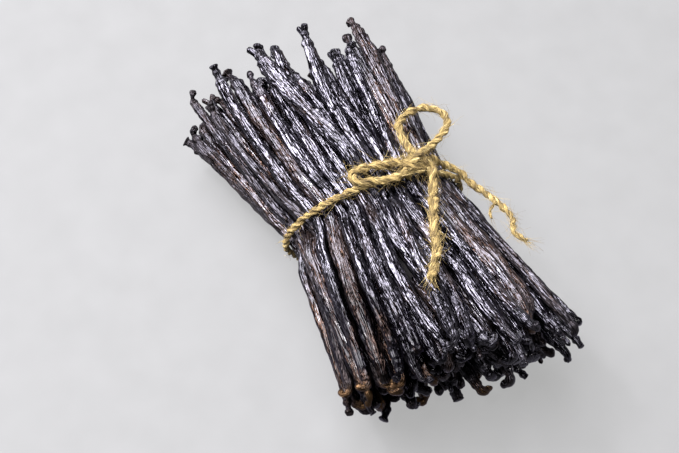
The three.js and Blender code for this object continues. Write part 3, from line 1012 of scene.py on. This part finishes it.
@dataclass(frozen=True)
class Prong:
    """The second prong of a forked tip, which splits off short of the end, in millimetres."""

    split: float = 7.5
    length: float = 8.2
    spread: float = 3.4
    bend: float = 1.6
    rings: int = 14
    sides: int = 14
    lobes: float = 0.12
    girth: Pairs = (
        (0, 0.5), (0.3, 0.42), (0.75, 0.36), (0.9, 0.36), (0.97, 0.24), (1, 0.05),
    )
    drawn: float = 0.4
    dust: float = 0.2

    def skin(self, line: np.ndarray, radius: float, side: np.ndarray) -> tuple[np.ndarray, np.ndarray]:
        """The prong's skin as rings.

        Args:
            line: The pod's middle line from the forked tip inwards.
            radius: The pod's radius at its fullest.
            side: The side to which the tip itself bends.

        Returns:
            The points, and each point's place on the skin with its third axis along the bundle.
        """
        start = int(np.searchsorted(distances(line), self.split))
        along = unit(line[start - 3] - line[start])
        away = unit(along * side.dot(along) - side)
        t = np.linspace(0, 1, self.rings)[:, None]
        points = line[start] + self.length * t * along + self.spread * t**self.bend * away
        at, size = np.array(self.girth).T
        angles = bearings(self.sides)
        lobes = 1 + self.lobes * np.cos(3 * angles)
        rings = Course(points, away).rings(angles, radius * np.interp(t, at, size) * lobes)
        x, y, z = np.moveaxis(rings, -1, 0)
        return rings, np.stack([y, z, self.drawn * x], -1)


@dataclass
class Pods:
    """All the pods, as one joined mesh for each kind of skin."""

    layout: Layout
    shape: PodShape = field(default_factory=PodShape)
    under_shape: PodShape = field(
        default_factory=lambda: PodShape(
            sides=44,
            tip_rings=20,
            body_rings=36,
            ridges=((9, 24.0, 0.12, 0.34),),
            foot_stops=FULL_FOOT,
        )
    )
    inner_shape: PodShape = field(
        default_factory=lambda: PodShape(
            sides=26,
            tip_rings=22,
            body_rings=16,
            ridges=((7, 14.0, 0.1, 0.4),),
            foot_stops=FULL_FOOT,
        )
    )
    prong: Prong = Prong()
    seed: int = 7
    rim: float = 0.78
    under: float = -0.3
    most_triangles: int = 190_000
    head_odds: tuple[float, ...] = (0.36, 0.24, 0.14, 0.14, 0.12)
    foot_odds: tuple[float, ...] = (0.28, 0.28, 0.22, 0.14, 0.08)
    brown_share: float = 0.22
    dusty_share: float = 0.12
    tip_length: float = 11
    tip_range: tuple[float, float] = (0.85, 1.15)
    tip_twist: float = 1.3
    tip_low: float = 0.6
    stiff: float = 0.4
    tone_sway: float = 0.25
    tone_period: float = 70
    dust_sway: float = 0.15
    dust_period: float = 50
    dust_tip: float = 0.35
    tip_zone: float = 22
    # Painted shade at the foot and low on the left side, and dullness near the head tip.
    worn_foot: float = 0.7
    worn_head: float = 0.55
    worn_head_from: tuple[float, float] = (1.2, 2)
    worn_left: float = 1.05
    worn_left_from: tuple[float, float] = (10, 20)
    worn_low_from: tuple[float, float] = (4, 45)
    worn_most: float = 0.93
    amber_share: float = 0.3
    amber_tip: float = 16
    amber_most: float = 1.6

    def __post_init__(self) -> None:
        """Start with no meshes."""
        self.skins: dict[str, list[Skin]] = {}

    def tips(self, pod: int, rng: Rng) -> list[Tip]:
        """Choose how a pod's two ends look."""
        made = []
        for end, odds in enumerate((self.head_odds, self.foot_odds)):
            form = list(TipForm)[int(rng.choice(len(odds), p=odds))]
            if pod < len(OUTER_PODS):
                form = OUTER_PODS[pod].tips[end]
            side = np.array([0.0, *self.layout.sides[pod][end]])
            long = self.tip_length * mix(*self.tip_range, rng.random())
            twist = self.tip_twist * (2 * rng.random() - 1)
            hook = self.layout.hooks[pod][end]
            if form in (TipForm.NUB, TipForm.BLUNT):
                hook *= self.stiff
            made.append(Tip(form, side, hook, long, twist))
        return made

    def line(self, pod: int, tips: Sequence[Tip]) -> np.ndarray:
        """A pod's whole middle line, from the tip at the head to the tip at the foot."""
        body = self.layout.body_line(pod)
        low = self.layout.radius[pod] * self.tip_low
        headward, footward = unit(body[0] - body[1]), unit(body[-1] - body[-2])
        head = tips[0].line(body[0], headward, low)
        foot = tips[1].line(body[-1], footward, low)
        return np.concatenate([head[::-1], body, foot])

    def tone(self, pod: int, rng: Rng) -> Tone:
        """Which skin a pod has."""
        if pod < len(OUTER_PODS):
            return OUTER_PODS[pod].tone
        pick = rng.random()
        if pick < self.brown_share:
            return Tone.BROWN
        return Tone.DUSTY if pick < self.brown_share + self.dusty_share else Tone.BLACK

    def worn(self, course: Course) -> np.ndarray:
        """How dull a pod is along its length: painted shade at its foot and low on the bundle's left
        side, and duller skin near its head tip.
        """
        x, y, _ = course.points.T
        left = ease((-y - self.worn_left_from[0]) / self.worn_left_from[1])
        low = ease((x - self.worn_low_from[0]) / self.worn_low_from[1])
        footward = ease(1 - (course.along[-1] - course.along) / self.tip_zone)
        headward = ease(self.worn_head_from[0] - self.worn_head_from[1] * course.along / self.tip_zone)
        worn = self.worn_left * left * low + self.worn_foot * footward + self.worn_head * headward
        return np.minimum(self.worn_most, worn)

    def add(self, pod: int) -> None:
        """Add one pod to the mesh of its kind."""
        layout = self.layout
        rng = np.random.default_rng([self.seed, pod])
        waist = np.array(layout.across[pod][1])
        shape = self.shape if waist[1] > self.under else self.under_shape
        if float(np.hypot(*waist)) < self.rim:
            shape = self.inner_shape
        tips, tone = self.tips(pod, rng), self.tone(pod, rng)
        points = self.line(pod, tips)
        long = distances(points)[-1]
        out = waist * [layout.waist.high, layout.waist.wide]
        outward = unit(np.array([0.0, *out]) + 1e-6 * UP)
        course = Course(smooth_line(points, shape.stops(long)), outward)
        radius = float(layout.radius[pod])
        rings, grain = shape.skin(course, radius, tips, rng)
        brown, dust = tone.value
        tones = brown + self.tone_sway * ripple(course.along, self.tone_period, rng)
        tipward = ease(1 - np.minimum(course.along, long - course.along) / self.tip_zone)
        blooms = dust + self.dust_sway * ripple(course.along, self.dust_period, rng)
        blooms = blooms + self.dust_tip * tipward
        if tips[1].form in (TipForm.CURL, TipForm.CROOK) and rng.random() < self.amber_share:
            tones = tones + self.amber_most * ease(1 - (long - course.along) / self.amber_tip)
        # Painted shade at the foot and low on the left side, and duller skin near the head tip.
        worn = self.worn(course)
        kind = "inner" if shape is self.inner_shape else tone.name.lower()
        skin = self.skin_for(kind, 2 * rings.shape[0] * rings.shape[1])
        values = {"tone": tones, "bloom": blooms, "worn": worn}
        skin.add_tube(rings, grain=grain, **{name: value[:, None] for name, value in values.items()})
        # A forked tip's prong takes the painted shade and dullness of its pod's end.
        for tip, line, end_dulling_and_shade in zip(tips, (course.points, course.points[::-1]), worn[[0, -1]]):
            if tip.form is TipForm.FORK:
                prong, place = self.prong.skin(line, radius, tip.side)
                dusty = dust + self.prong.dust
                skin.add_tube(prong, grain=place, tone=brown, bloom=dusty, worn=end_dulling_and_shade)

    def skin_for(self, kind: str, triangles: int) -> Skin:
        """The mesh that a pod of one kind joins: a new one when the last is full."""
        pieces = self.skins.setdefault(kind, [])
        if not pieces or pieces[-1].triangles + triangles > self.most_triangles:
            pieces.append(Skin())
        return pieces[-1]

    def build(self) -> list[bpy.types.Object]:
        """Make the pods' meshes."""
        for pod in range(self.layout.pod_count):
            self.add(pod)
        oily = PodSkin("pod_skin_oily").material()
        dull = PodSkin("pod_skin_dull", reflect=0.45, coat=0.4, matt=0.5).material()
        materials = {"inner": oily, "black": oily, "brown": dull, "dusty": dull}
        return [
            dress(skin.build(f"pods_{kind}_{k}"), materials[kind], ["pods"])
            for kind, skins in self.skins.items()
            for k, skin in enumerate(skins, 1)
        ]


@dataclass(frozen=True)
class Heart:
    """The dull dark skin of the core."""

    name: str = "pod_heart"
    dark: Colour = (0.003, 0.0025, 0.003)
    brown: Colour = (0.010, 0.007, 0.007)
    scale: Place = (40.0, 300.0, 300.0)
    rough: tuple[float, float] = (0.6, 0.3)

    def material(self) -> bpy.types.Material:
        """The material with its nodes."""
        paint = Painter(self.name)
        tone = paint.noise(paint.stretched(paint.wire("TexCoord", "Object"), self.scale), 1.0, 3.0)
        return paint.finish(
            Base_Color=paint.blend(tone, self.dark, self.brown),
            Roughness=self.rough[0] + self.rough[1] * tone,
        )


@dataclass
class Core:
    """The dark heart of the bundle, which the whole pods cover."""

    layout: Layout
    start: float = -50
    stop: float = 55
    inset: float = 7.5
    blunt: float = 0.5
    rings: int = 16
    sides: int = 32

    def build(self) -> bpy.types.Object:
        """Make the core from a sphere drawn out along the bundle."""
        made = bmesh.new()
        bmesh.ops.create_uvsphere(made, u_segments=self.sides, v_segments=self.rings, radius=1)
        for vertex in made.verts:
            s = mix(self.start, self.stop, (vertex.co.z + 1) / 2)
            bearing = math.atan2(vertex.co.x, vertex.co.y)
            share = math.hypot(vertex.co.x, vertex.co.y) ** self.blunt
            up, aside = (float(value) for value in self.layout.outline(s)[2:])
            middle = self.layout.point(s, aside, up)
            rim = self.layout.tight_point(s, bearing, -self.inset)
            vertex.co = Vector(mix(middle, rim, share) * MM)
        bmesh.ops.recalc_face_normals(made, faces=made.faces)
        mesh = bpy.data.meshes.new("pods_core")
        made.to_mesh(mesh)
        made.free()
        mesh.shade_smooth()
        core = link(bpy.data.objects.new("pods_core", mesh))
        return dress(core, Heart().material(), ["pods"])


# ---- The twine -------------------------------------------------------------------------------


@dataclass(frozen=True)
class Jute:
    """Straw-gold jute: matt, streaked along its fibres. Its shade colour is painted shade as well
    as darker jute, and its pale streaks are painted highlights as well as paler fibres.
    """

    name: str = "jute"
    shade: Colour = (0.066, 0.042, 0.013)
    straw: Colour = (0.245, 0.172, 0.056)
    pale: Colour = (0.50, 0.40, 0.19)
    fibres: Pattern = Pattern(1.8, 0.12, 3.0, 0.7)
    patches: Pattern = Pattern(0.22, 1.0, 2.0)
    straw_onset: Onset = Onset(0.0, 1.5, 0.28, 0.62)
    pale_onset: Onset = Onset(0.4, 0.0, 0.54, 0.72)
    relief: float = 0.0013
    rough: tuple[float, float] = (0.62, 0.3)
    reflect: float = 0.35

    def material(self) -> bpy.types.Material:
        """The material with its nodes."""
        paint = Painter(self.name)
        grain = paint.attribute("grain", "Vector")
        fibres, patches = paint.pattern(grain, self.fibres), paint.pattern(grain, self.patches)
        # Painted light: lit patches take straw over the painted shade colour; pale streaks are partly
        # painted highlights.
        lit = paint.set_in(patches, self.straw_onset, patches, fibres)
        pale_fibres_and_highlight = paint.set_in(fibres, self.pale_onset, patches, fibres)
        straw = paint.blend(lit, self.shade, self.straw)
        return paint.finish(
            Base_Color=paint.blend(pale_fibres_and_highlight, straw, self.pale),
            Roughness=self.rough[0] + self.rough[1] * patches,
            Specular_IOR_Level=self.reflect,
            Normal=paint.bump(fibres, self.relief),
        )


@dataclass(frozen=True)
class Stray:
    """The stray fibres of a twine, in millimetres and in shares of a fibre's length."""

    length: tuple[float, float] = (1.8, 10.0)
    radius: float = 0.06
    thinning: float = 0.6
    rings: int = 6
    sides: int = 3
    bend: float = 0.5
    droop: float = 0.25
    curve: float = 0.6
    sideways: float = 0.25
    grain: float = 0.7

    def add(
        self,
        skin: Skin,
        start: np.ndarray,
        along: np.ndarray,
        out: np.ndarray,
        long: float,
        rng: Rng,
    ) -> None:
        """Add one stray fibre.

        Args:
            skin: The mesh that it joins.
            start: Where it leaves the twine.
            along: The direction in which it leaves.
            out: The direction away from the twine.
            long: Its length as a share of the range of lengths.
            rng: Where its bends come from.
        """
        t = np.linspace(0, 1, self.rings)[:, None]
        bend = unit(rng.normal(size=3)) * self.bend - self.droop * out
        side = unit(np.cross(along, out) + 1e-3) * rng.normal() * self.sideways
        points = start + mix(*self.length, long) * (t * along + t**2 * bend * self.curve + t**3 * side)
        thin = self.radius * (1 - self.thinning * t)
        course = Course(points, out + 1e-3)
        rings = course.rings(bearings(self.sides), np.repeat(thin, self.sides, axis=1))
        skin.add_tube(rings, grain=np.broadcast_to(start * self.grain, rings.shape))


@dataclass
class Twine:
    """A length of plied twine, in millimetres and in shares of its radius.

    Its girth sways by pairs of a period and a share, and a ply's section by pairs of how many lobes
    it has and how deep they are. A fibre starts a share of the way out, leans out by a share of its
    direction, and is the shorter and flatter the higher the powers of shortness and flatness are.
    """

    name: str
    route: Sequence[Place] | np.ndarray
    radius: float
    lay: float
    fibres: int
    seed: int
    plies: int = 2
    step: float = 0.42
    sides: int = 10
    bulk: float = 1.15
    loose: float = 0.11
    taper: tuple[float, float] = (1.0, 1.0)
    sways: Pairs = ((9, 1.0), (3.5, 0.6))
    pressed: float = 1.24
    ply_wander: float = 0.45
    ply_wander_period: float = 13
    ply_sway: float = 0.14
    ply_sway_period: float = 5
    lobes: Pairs = ((2, 0.07), (5, 0.05))
    phases: float = 6
    end_pinch: float = 0.5
    twist: float = 1.6
    apart: float = 30
    frayed: int = 0
    fray_zone: int = 8
    fray_spread: float = 0.5
    lift: tuple[float, float] = (0.03, 1.0)
    rooted: float = 0.9
    shortness: float = 1.6
    fray_shortness: float = 1.3
    flatness: float = 2
    stray: Stray = Stray()
    loose_plies: Sequence["Twine"] = ()

    def __post_init__(self) -> None:
        """Draw the smooth line that the plies turn round."""
        self.rng = np.random.default_rng(self.seed)
        self.line = evenly(self.route, self.step)
        along = unit(self.line[1] - self.line[0])
        self.course = Course(self.line, unit(np.cross(along, UP) + 1e-3))

    def size(self) -> np.ndarray:
        """The twine's girth along its length as a share of its radius."""
        along = self.course.along
        uneven = sum(size * ripple(along, period, self.rng) for period, size in self.sways)
        return self.bulk * mix(*self.taper, along / along[-1]) * (1 + self.loose * uneven)

    def add_plies(self, skin: Skin) -> None:
        """Wind the plies round the line."""
        along = self.course.along
        own = 1 / (1 + 1 / math.sin(math.pi / self.plies))
        size = self.size() * self.radius
        angles = bearings(self.sides)
        for k in range(self.plies):
            wander = self.ply_wander * ripple(along, self.ply_wander_period, self.rng)
            turn = (TURN * (k / self.plies + along / self.lay) + wander)[:, None]
            middle = self.course.rings(turn, ((1 - own) * size)[:, None])[:, 0]
            sway = self.ply_sway * ripple(along, self.ply_sway_period, self.rng)
            section = 1.0
            for lobes, depth in self.lobes:
                section = section + depth * np.cos(lobes * angles + self.phases * self.rng.random())
            reach = (own * self.pressed * size * (1 + sway))[:, None] * section
            reach[[0, -1]] *= self.end_pinch
            twist = angles[None] - (TURN * along / (self.lay * self.twist))[:, None]
            grain = grain_of(self.radius, twist, self.apart * k + along[:, None])
            skin.add_tube(Course(middle, self.course.sides[0]).rings(angles, reach), grain=grain)

    def add_fibres(self, skin: Skin) -> None:
        """Let stray fibres stand out of the twine and of its frayed end."""
        rng = self.rng
        for _ in range(self.fibres):
            at = int(rng.integers(0, len(self.line)))
            bearing = TURN * rng.random()
            out = math.cos(bearing) * self.course.sides[at] + math.sin(bearing) * self.course.ups[at]
            along = self.course.tangents[at] * (1 if rng.random() < 0.5 else -1)
            long = rng.random() ** self.shortness
            lift = mix(*self.lift, rng.random() ** self.flatness)
            start = self.line[at] + out * self.radius * self.bulk * self.rooted
            self.stray.add(skin, start, unit(along + lift * out), out, long, rng)
        for _ in range(self.frayed):
            out = unit(rng.normal(size=3))
            back = 1 + int(rng.integers(0, self.fray_zone))
            start = self.line[-back] + self.fray_spread * self.radius * out
            along = unit(self.course.tangents[-1] + self.fray_spread * out)
            self.stray.add(skin, start, along, out, rng.random() ** self.fray_shortness, rng)

    def build(self, jute: bpy.types.Material) -> tuple[bpy.types.Object, bpy.types.Object]:
        """Make the twine, in place of the solid of its name, and its stray fibres."""
        plies, fuzz = Skin(), Skin()
        self.add_plies(plies)
        self.add_fibres(fuzz)
        for ply in self.loose_plies:
            ply.add_plies(fuzz)
            ply.add_fibres(fuzz)
        twine = dress(plies.build(self.name), jute, [self.name])
        hairs = dress(fuzz.build(self.name + "_fibres"), jute, [])
        log.info("%s: %.1f mm long", self.name, self.course.along[-1])
        return twine, hairs


LOOP_FLAT = [
    (-8.2, 22.2, 62.2), (-9.4, 19.6, 62.7), (-10.3, 16.6, 63.1), (-11.2, 13.4, 63.4),
    (-12.0, 10.0, 63.9), (-12.7, 6.8, 64.3), (-13.2, 3.6, 64.8), (-13.4, 0.9, 64.9),
    (-12.9, -1.1, 64.8), (-11.2, -2.4, 64.9), (-8.9, -2.5, 65.3), (-6.7, -0.9, 66.0),
    (-5.0, 1.9, 66.5), (-3.5, 5.0, 66.5), (-2.3, 8.0, 66.4), (-1.5, 11.2, 66.2),
    (-1.2, 14.6, 65.8), (-1.4, 17.8, 65.3), (-2.1, 20.6, 64.8),
]
LOOP_OPEN = [
    (-9.8, 28.2, 63.2), (-12.8, 28.7, 61.9), (-16.1, 28.8, 61.0), (-19.5, 29.0, 60.8),
    (-22.8, 29.3, 61.1), (-25.8, 30.4, 61.5), (-28.3, 32.8, 61.7), (-30.0, 36.3, 61.6),
    (-30.8, 40.1, 61.2), (-30.8, 44.1, 60.7), (-29.6, 47.8, 60.2), (-27.2, 51.0, 59.7),
    (-23.8, 53.0, 59.3), (-20.2, 53.0, 59.1), (-17.0, 51.1, 59.2), (-14.6, 47.8, 59.6),
    (-12.7, 44.1, 60.2), (-11.0, 40.3, 60.9), (-9.4, 36.7, 61.8), (-8.2, 34.0, 62.6),
]
TAIL_FRONT = [
    (-0.6, 32.2, 62.0), (2.2, 31.2, 61.7), (5.2, 29.7, 61.2), (8.6, 27.7, 61.4),
    (12.6, 25.1, 62.6), (17.0, 22.4, 64.7), (21.0, 19.9, 65.9), (25.3, 17.4, 67.0),
    (30.0, 14.6, 68.1), (34.8, 12.2, 69.4), (39.4, 9.7, 71.4), (44.0, 6.8, 73.6),
    (48.2, 3.4, 75.8), (51.6, 0.2, 77.0), (54.2, -2.4, 77.2),
]
TAIL_SIDE = [
    (-6.0, 34.2, 59.6), (-5.4, 36.4, 57.4), (-4.4, 38.8, 54.6), (-3.4, 41.6, 51.8),
    (-1.6, 44.4, 49.6), (1.6, 47.2, 48.0), (6.2, 48.9, 46.2), (11.0, 50.6, 45.6),
    (15.8, 52.3, 45.6), (21.0, 53.7, 46.0), (26.1, 54.7, 46.7), (30.8, 55.0, 47.7),
    (34.8, 54.5, 48.7), (37.7, 53.0, 49.6), (40.2, 51.0, 50.6), (43.2, 50.3, 51.6),
    (46.2, 51.2, 51.9), (49.0, 52.6, 51.7),
]

# A ply that has worked loose from the side tail.
LOOSE_PLY = [
    (21.6, 54.2, 46.4), (23.2, 52.6, 47.4), (24.4, 50.6, 47.8), (25.4, 48.8, 47.6),
    (27.0, 47.6, 47.2), (29.4, 47.2, 46.8),
]

# The knot's strands, from the top one down: the wrap over the crossing, the strand that leaves as
# the front tail, the two that come in from the flat loop, and the turn round the tie.
KNOT_STRANDS = [
    [(-8.6, 35.0, 62.4), (-7.4, 32.4, 64.6), (-6.1, 29.6, 66.3), (-5.4, 26.7, 66.4),
     (-5.6, 24.0, 65.0), (-6.1, 22.4, 62.6), (-6.2, 23.2, 60.4)],
    [(-11.2, 28.4, 62.6), (-8.6, 28.7, 63.8), (-5.8, 29.6, 64.2), (-3.0, 31.0, 63.6),
     (-0.4, 32.1, 62.0), (0.8, 31.8, 61.4)],
    [(-5.2, 20.2, 64.2), (-4.0, 22.8, 64.6), (-2.8, 25.4, 64.2), (-2.0, 27.8, 62.8),
     (-2.0, 29.6, 60.8)],
    [(-7.4, 21.0, 62.4), (-7.8, 23.6, 62.8), (-7.4, 26.2, 63.0), (-6.0, 28.6, 62.4),
     (-4.8, 30.4, 60.8)],
    [(-5.8, 22.4, 60.6), (-2.6, 24.2, 61.8), (-1.1, 27.2, 62.2), (-1.8, 30.4, 61.4),
     (-4.2, 33.2, 60.4), (-6.4, 34.4, 59.2)],
]


@dataclass
class Bow:
    """The tie round the bundle, its knot, two loops and two tails."""

    layout: Layout
    twine_radius: float = 1.3
    tail_radius: float = 2.0
    top_strands: int = 2
    top_girth: float = 1.15
    tie_gap: float = -0.1
    tie_points: int = 72
    knot_at: tuple[float, float, float] = (-4.7, 27.6, 62.6)
    knot_bearing: float = 22
    knot_clear: float = 3.0

    def tie_route(self) -> np.ndarray:
        """The tie's route: tight round the pods from one side of the knot to the other."""
        route: list[np.ndarray] = []
        for k in range(self.tie_points):
            bearing = math.radians(self.knot_bearing + 360 * k / self.tie_points)
            point = self.layout.tight_point(0, bearing, self.twine_radius + self.tie_gap)
            apart = not route or np.linalg.norm(point - route[-1]) > 2 * self.twine_radius
            if apart and np.linalg.norm(point - self.knot_at) > self.knot_clear:
                route.append(point)
        return np.array(route)

    def cords(self) -> dict[str, list[Twine]]:
        """The loops and tails by what their far ends are: at the knot, or bare."""
        radius = self.twine_radius
        ply = Twine("loose_ply", LOOSE_PLY, 0.55, lay=6, fibres=30, seed=16)
        return {
            "object": [
                Twine("bow_loop_flat", LOOP_FLAT, radius, lay=13, bulk=1.4, fibres=380, seed=11),
                Twine("bow_loop_open", LOOP_OPEN, radius, lay=11, bulk=1.3, fibres=360, seed=12),
            ],
            "bare": [
                Twine("tail_front", TAIL_FRONT, self.tail_radius, lay=21, bulk=1.0, loose=0.13,
                      fibres=620, frayed=30, seed=13),
                Twine("tail_side", TAIL_SIDE, radius, lay=10, taper=(1.25, 0.8), fibres=380,
                      frayed=30, loose_plies=[ply], seed=14),
            ],
        }

    def build(self) -> list[bpy.types.Object]:
        """Make all the twine."""
        jute = Jute().material()
        made = []
        for far_end, twines in self.cords().items():
            for twine in twines:
                piece, hairs = twine.build(jute)
                path = (twine.line * MM).tolist()
                made += [piece, hairs]
        route = self.tie_route()
        tie = Twine("twine_tie", route, self.twine_radius, lay=8.5, fibres=420, seed=15)
        return [*made, *tie.build(jute), *self.build_knot(jute)]

    def build_knot(self, jute: bpy.types.Material) -> tuple[bpy.types.Object, bpy.types.Object]:
        """Wind the knot's strands over each other."""
        plies, fuzz = Skin(), Skin()
        for k, strand in enumerate(KNOT_STRANDS):
            radius = self.twine_radius * (self.top_girth if k < self.top_strands else 1.0)
            twine = Twine("knot", strand, radius, lay=11, fibres=110, seed=21 + k)
            twine.add_plies(plies)
            twine.add_fibres(fuzz)
        knot = dress(plies.build("twine_knot_strands"), jute, ["twine_knot"])
        return knot, dress(fuzz.build("twine_knot_fibres"), jute, [])


# ---- The studio ------------------------------------------------------------------------------


@dataclass(frozen=True)
class Lamp:
    """A soft lamp, placed by its bearing from the bundle."""

    name: str
    azimuth: float
    elevation: float
    distance: float
    size: float
    power: float
    colour: Colour = (1.0, 1.0, 1.0)


@dataclass(frozen=True)
class Paper:
    """The floor's paper, which glows a pale grey."""

    name: str = "floor"
    tone: float = 0.034
    mottle: float = 0.006
    mottle_scale: float = 60.0
    cool: float = 1.01
    glow: float = 0.41
    matt: float = 0.75
    reflect: float = 0.2

    def material(self) -> bpy.types.Material:
        """The material with its nodes."""
        paint = Painter(self.name)
        mottle = paint.noise(paint.wire("TexCoord", "Object"), self.mottle_scale)
        low, high = self.tone - self.mottle, self.tone + self.mottle
        return paint.finish(
            Base_Color=paint.blend(mottle, (low, low, low * self.cool), (high, high, high * self.cool)),
            Roughness=self.matt,
            Specular_IOR_Level=self.reflect,
            Emission_Color=(1.0, 1.0, 1.0, 1.0),
            Emission_Strength=self.glow,
        )


@dataclass
class Studio:
    """A plain pale floor, soft lamps and the camera."""

    azimuth: float = 60.3
    elevation: float = 60.0
    lens: float = 75
    sensor: float = 36
    target: tuple[float, float, float] = (-0.0093, -0.0102, 0.0308)
    distance: float = 0.6564
    floor_size: float = 5.0
    world_tone: Colour = (0.50, 0.52, 0.56)
    world_strength: float = 0.03
    lamps: tuple[Lamp, ...] = (
        Lamp("key", -62, 62, 1.15, 1.4, 108, (0.96, 0.95, 1.0)),
        Lamp("glints", -56, 58, 1.15, 0.15, 12, (0.98, 0.96, 1.0)),
        Lamp("glints_top", 20, 68, 1.15, 0.15, 4, (0.98, 0.96, 1.0)),
        Lamp("glints_right", 120, 45, 1.15, 0.15, 4, (1.0, 0.98, 0.95)),
        Lamp("front", 30, 50, 1.2, 0.5, 0.5, (0.95, 0.95, 1.0)),
        Lamp("back", 175, 40, 1.2, 0.6, 2.0, (1.0, 0.98, 0.97)),
    )

    @staticmethod
    def direction(azimuth: float, elevation: float) -> Vector:
        """The direction from the bundle to something at an azimuth and elevation in degrees."""
        a, e = math.radians(azimuth), math.radians(elevation)
        return Vector((math.sin(a) * math.cos(e), -math.cos(a) * math.cos(e), math.sin(e)))

    def build_camera(self) -> None:
        """Make the camera."""
        data = bpy.data.cameras.new("camera")
        data.lens, data.sensor_width = self.lens, self.sensor
        camera = link(bpy.data.objects.new("camera", data))
        back = self.direction(self.azimuth, self.elevation)
        camera.location = Vector(self.target) + back * self.distance
        camera.rotation_mode = "QUATERNION"
        camera.rotation_quaternion = (-back).to_track_quat("-Z", "Y")
        bpy.context.scene.camera = camera

    def build_lamps(self) -> None:
        """Hang the lamps."""
        for lamp in self.lamps:
            data = bpy.data.lights.new(lamp.name, "AREA")
            data.shape, data.size = "DISK", lamp.size
            data.energy, data.color = lamp.power, lamp.colour
            made = link(bpy.data.objects.new(lamp.name, data))
            towards = self.direction(lamp.azimuth, lamp.elevation)
            made.location = towards * lamp.distance
            made.rotation_mode = "QUATERNION"
            made.rotation_quaternion = (-towards).to_track_quat("-Z", "Y")

    def build_floor(self) -> None:
        """Lay the floor."""
        made = bmesh.new()
        bmesh.ops.create_grid(made, x_segments=8, y_segments=8, size=self.floor_size / 2)
        mesh = bpy.data.meshes.new("floor")
        made.to_mesh(mesh)
        made.free()
        mesh.materials.append(Paper().material())
        floor = link(bpy.data.objects.new("floor", mesh))

    def build_world(self) -> None:
        """Fill the studio with even light and show its colours plainly."""
        world = bpy.data.worlds.new("studio")
        world.use_nodes = True
        back = world.node_tree.nodes["Background"]
        back.inputs["Color"].default_value = (*self.world_tone, 1)
        back.inputs["Strength"].default_value = self.world_strength
        bpy.context.scene.world = world
        bpy.context.scene.view_settings.view_transform = "Standard"

    def build(self) -> None:
        """Set up the floor, lamps and world."""
        self.build_lamps()
        self.build_floor()
        self.build_world()


def main() -> None:
    """Build the bundle in its studio."""
    logging.basicConfig(level=logging.INFO, format="%(name)s: %(message)s")
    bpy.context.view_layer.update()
    studio = Studio()
    studio.build_camera()
    layout = Layout()
    for piece in [*Bow(layout).build(), *Pods(layout).build(), Core(layout).build()]:
        mesh = piece.data
        log.info("%s: %d triangles", piece.name, len(mesh.loops) - 2 * len(mesh.polygons))
    studio.build()


if __name__ == "__main__":
    main()
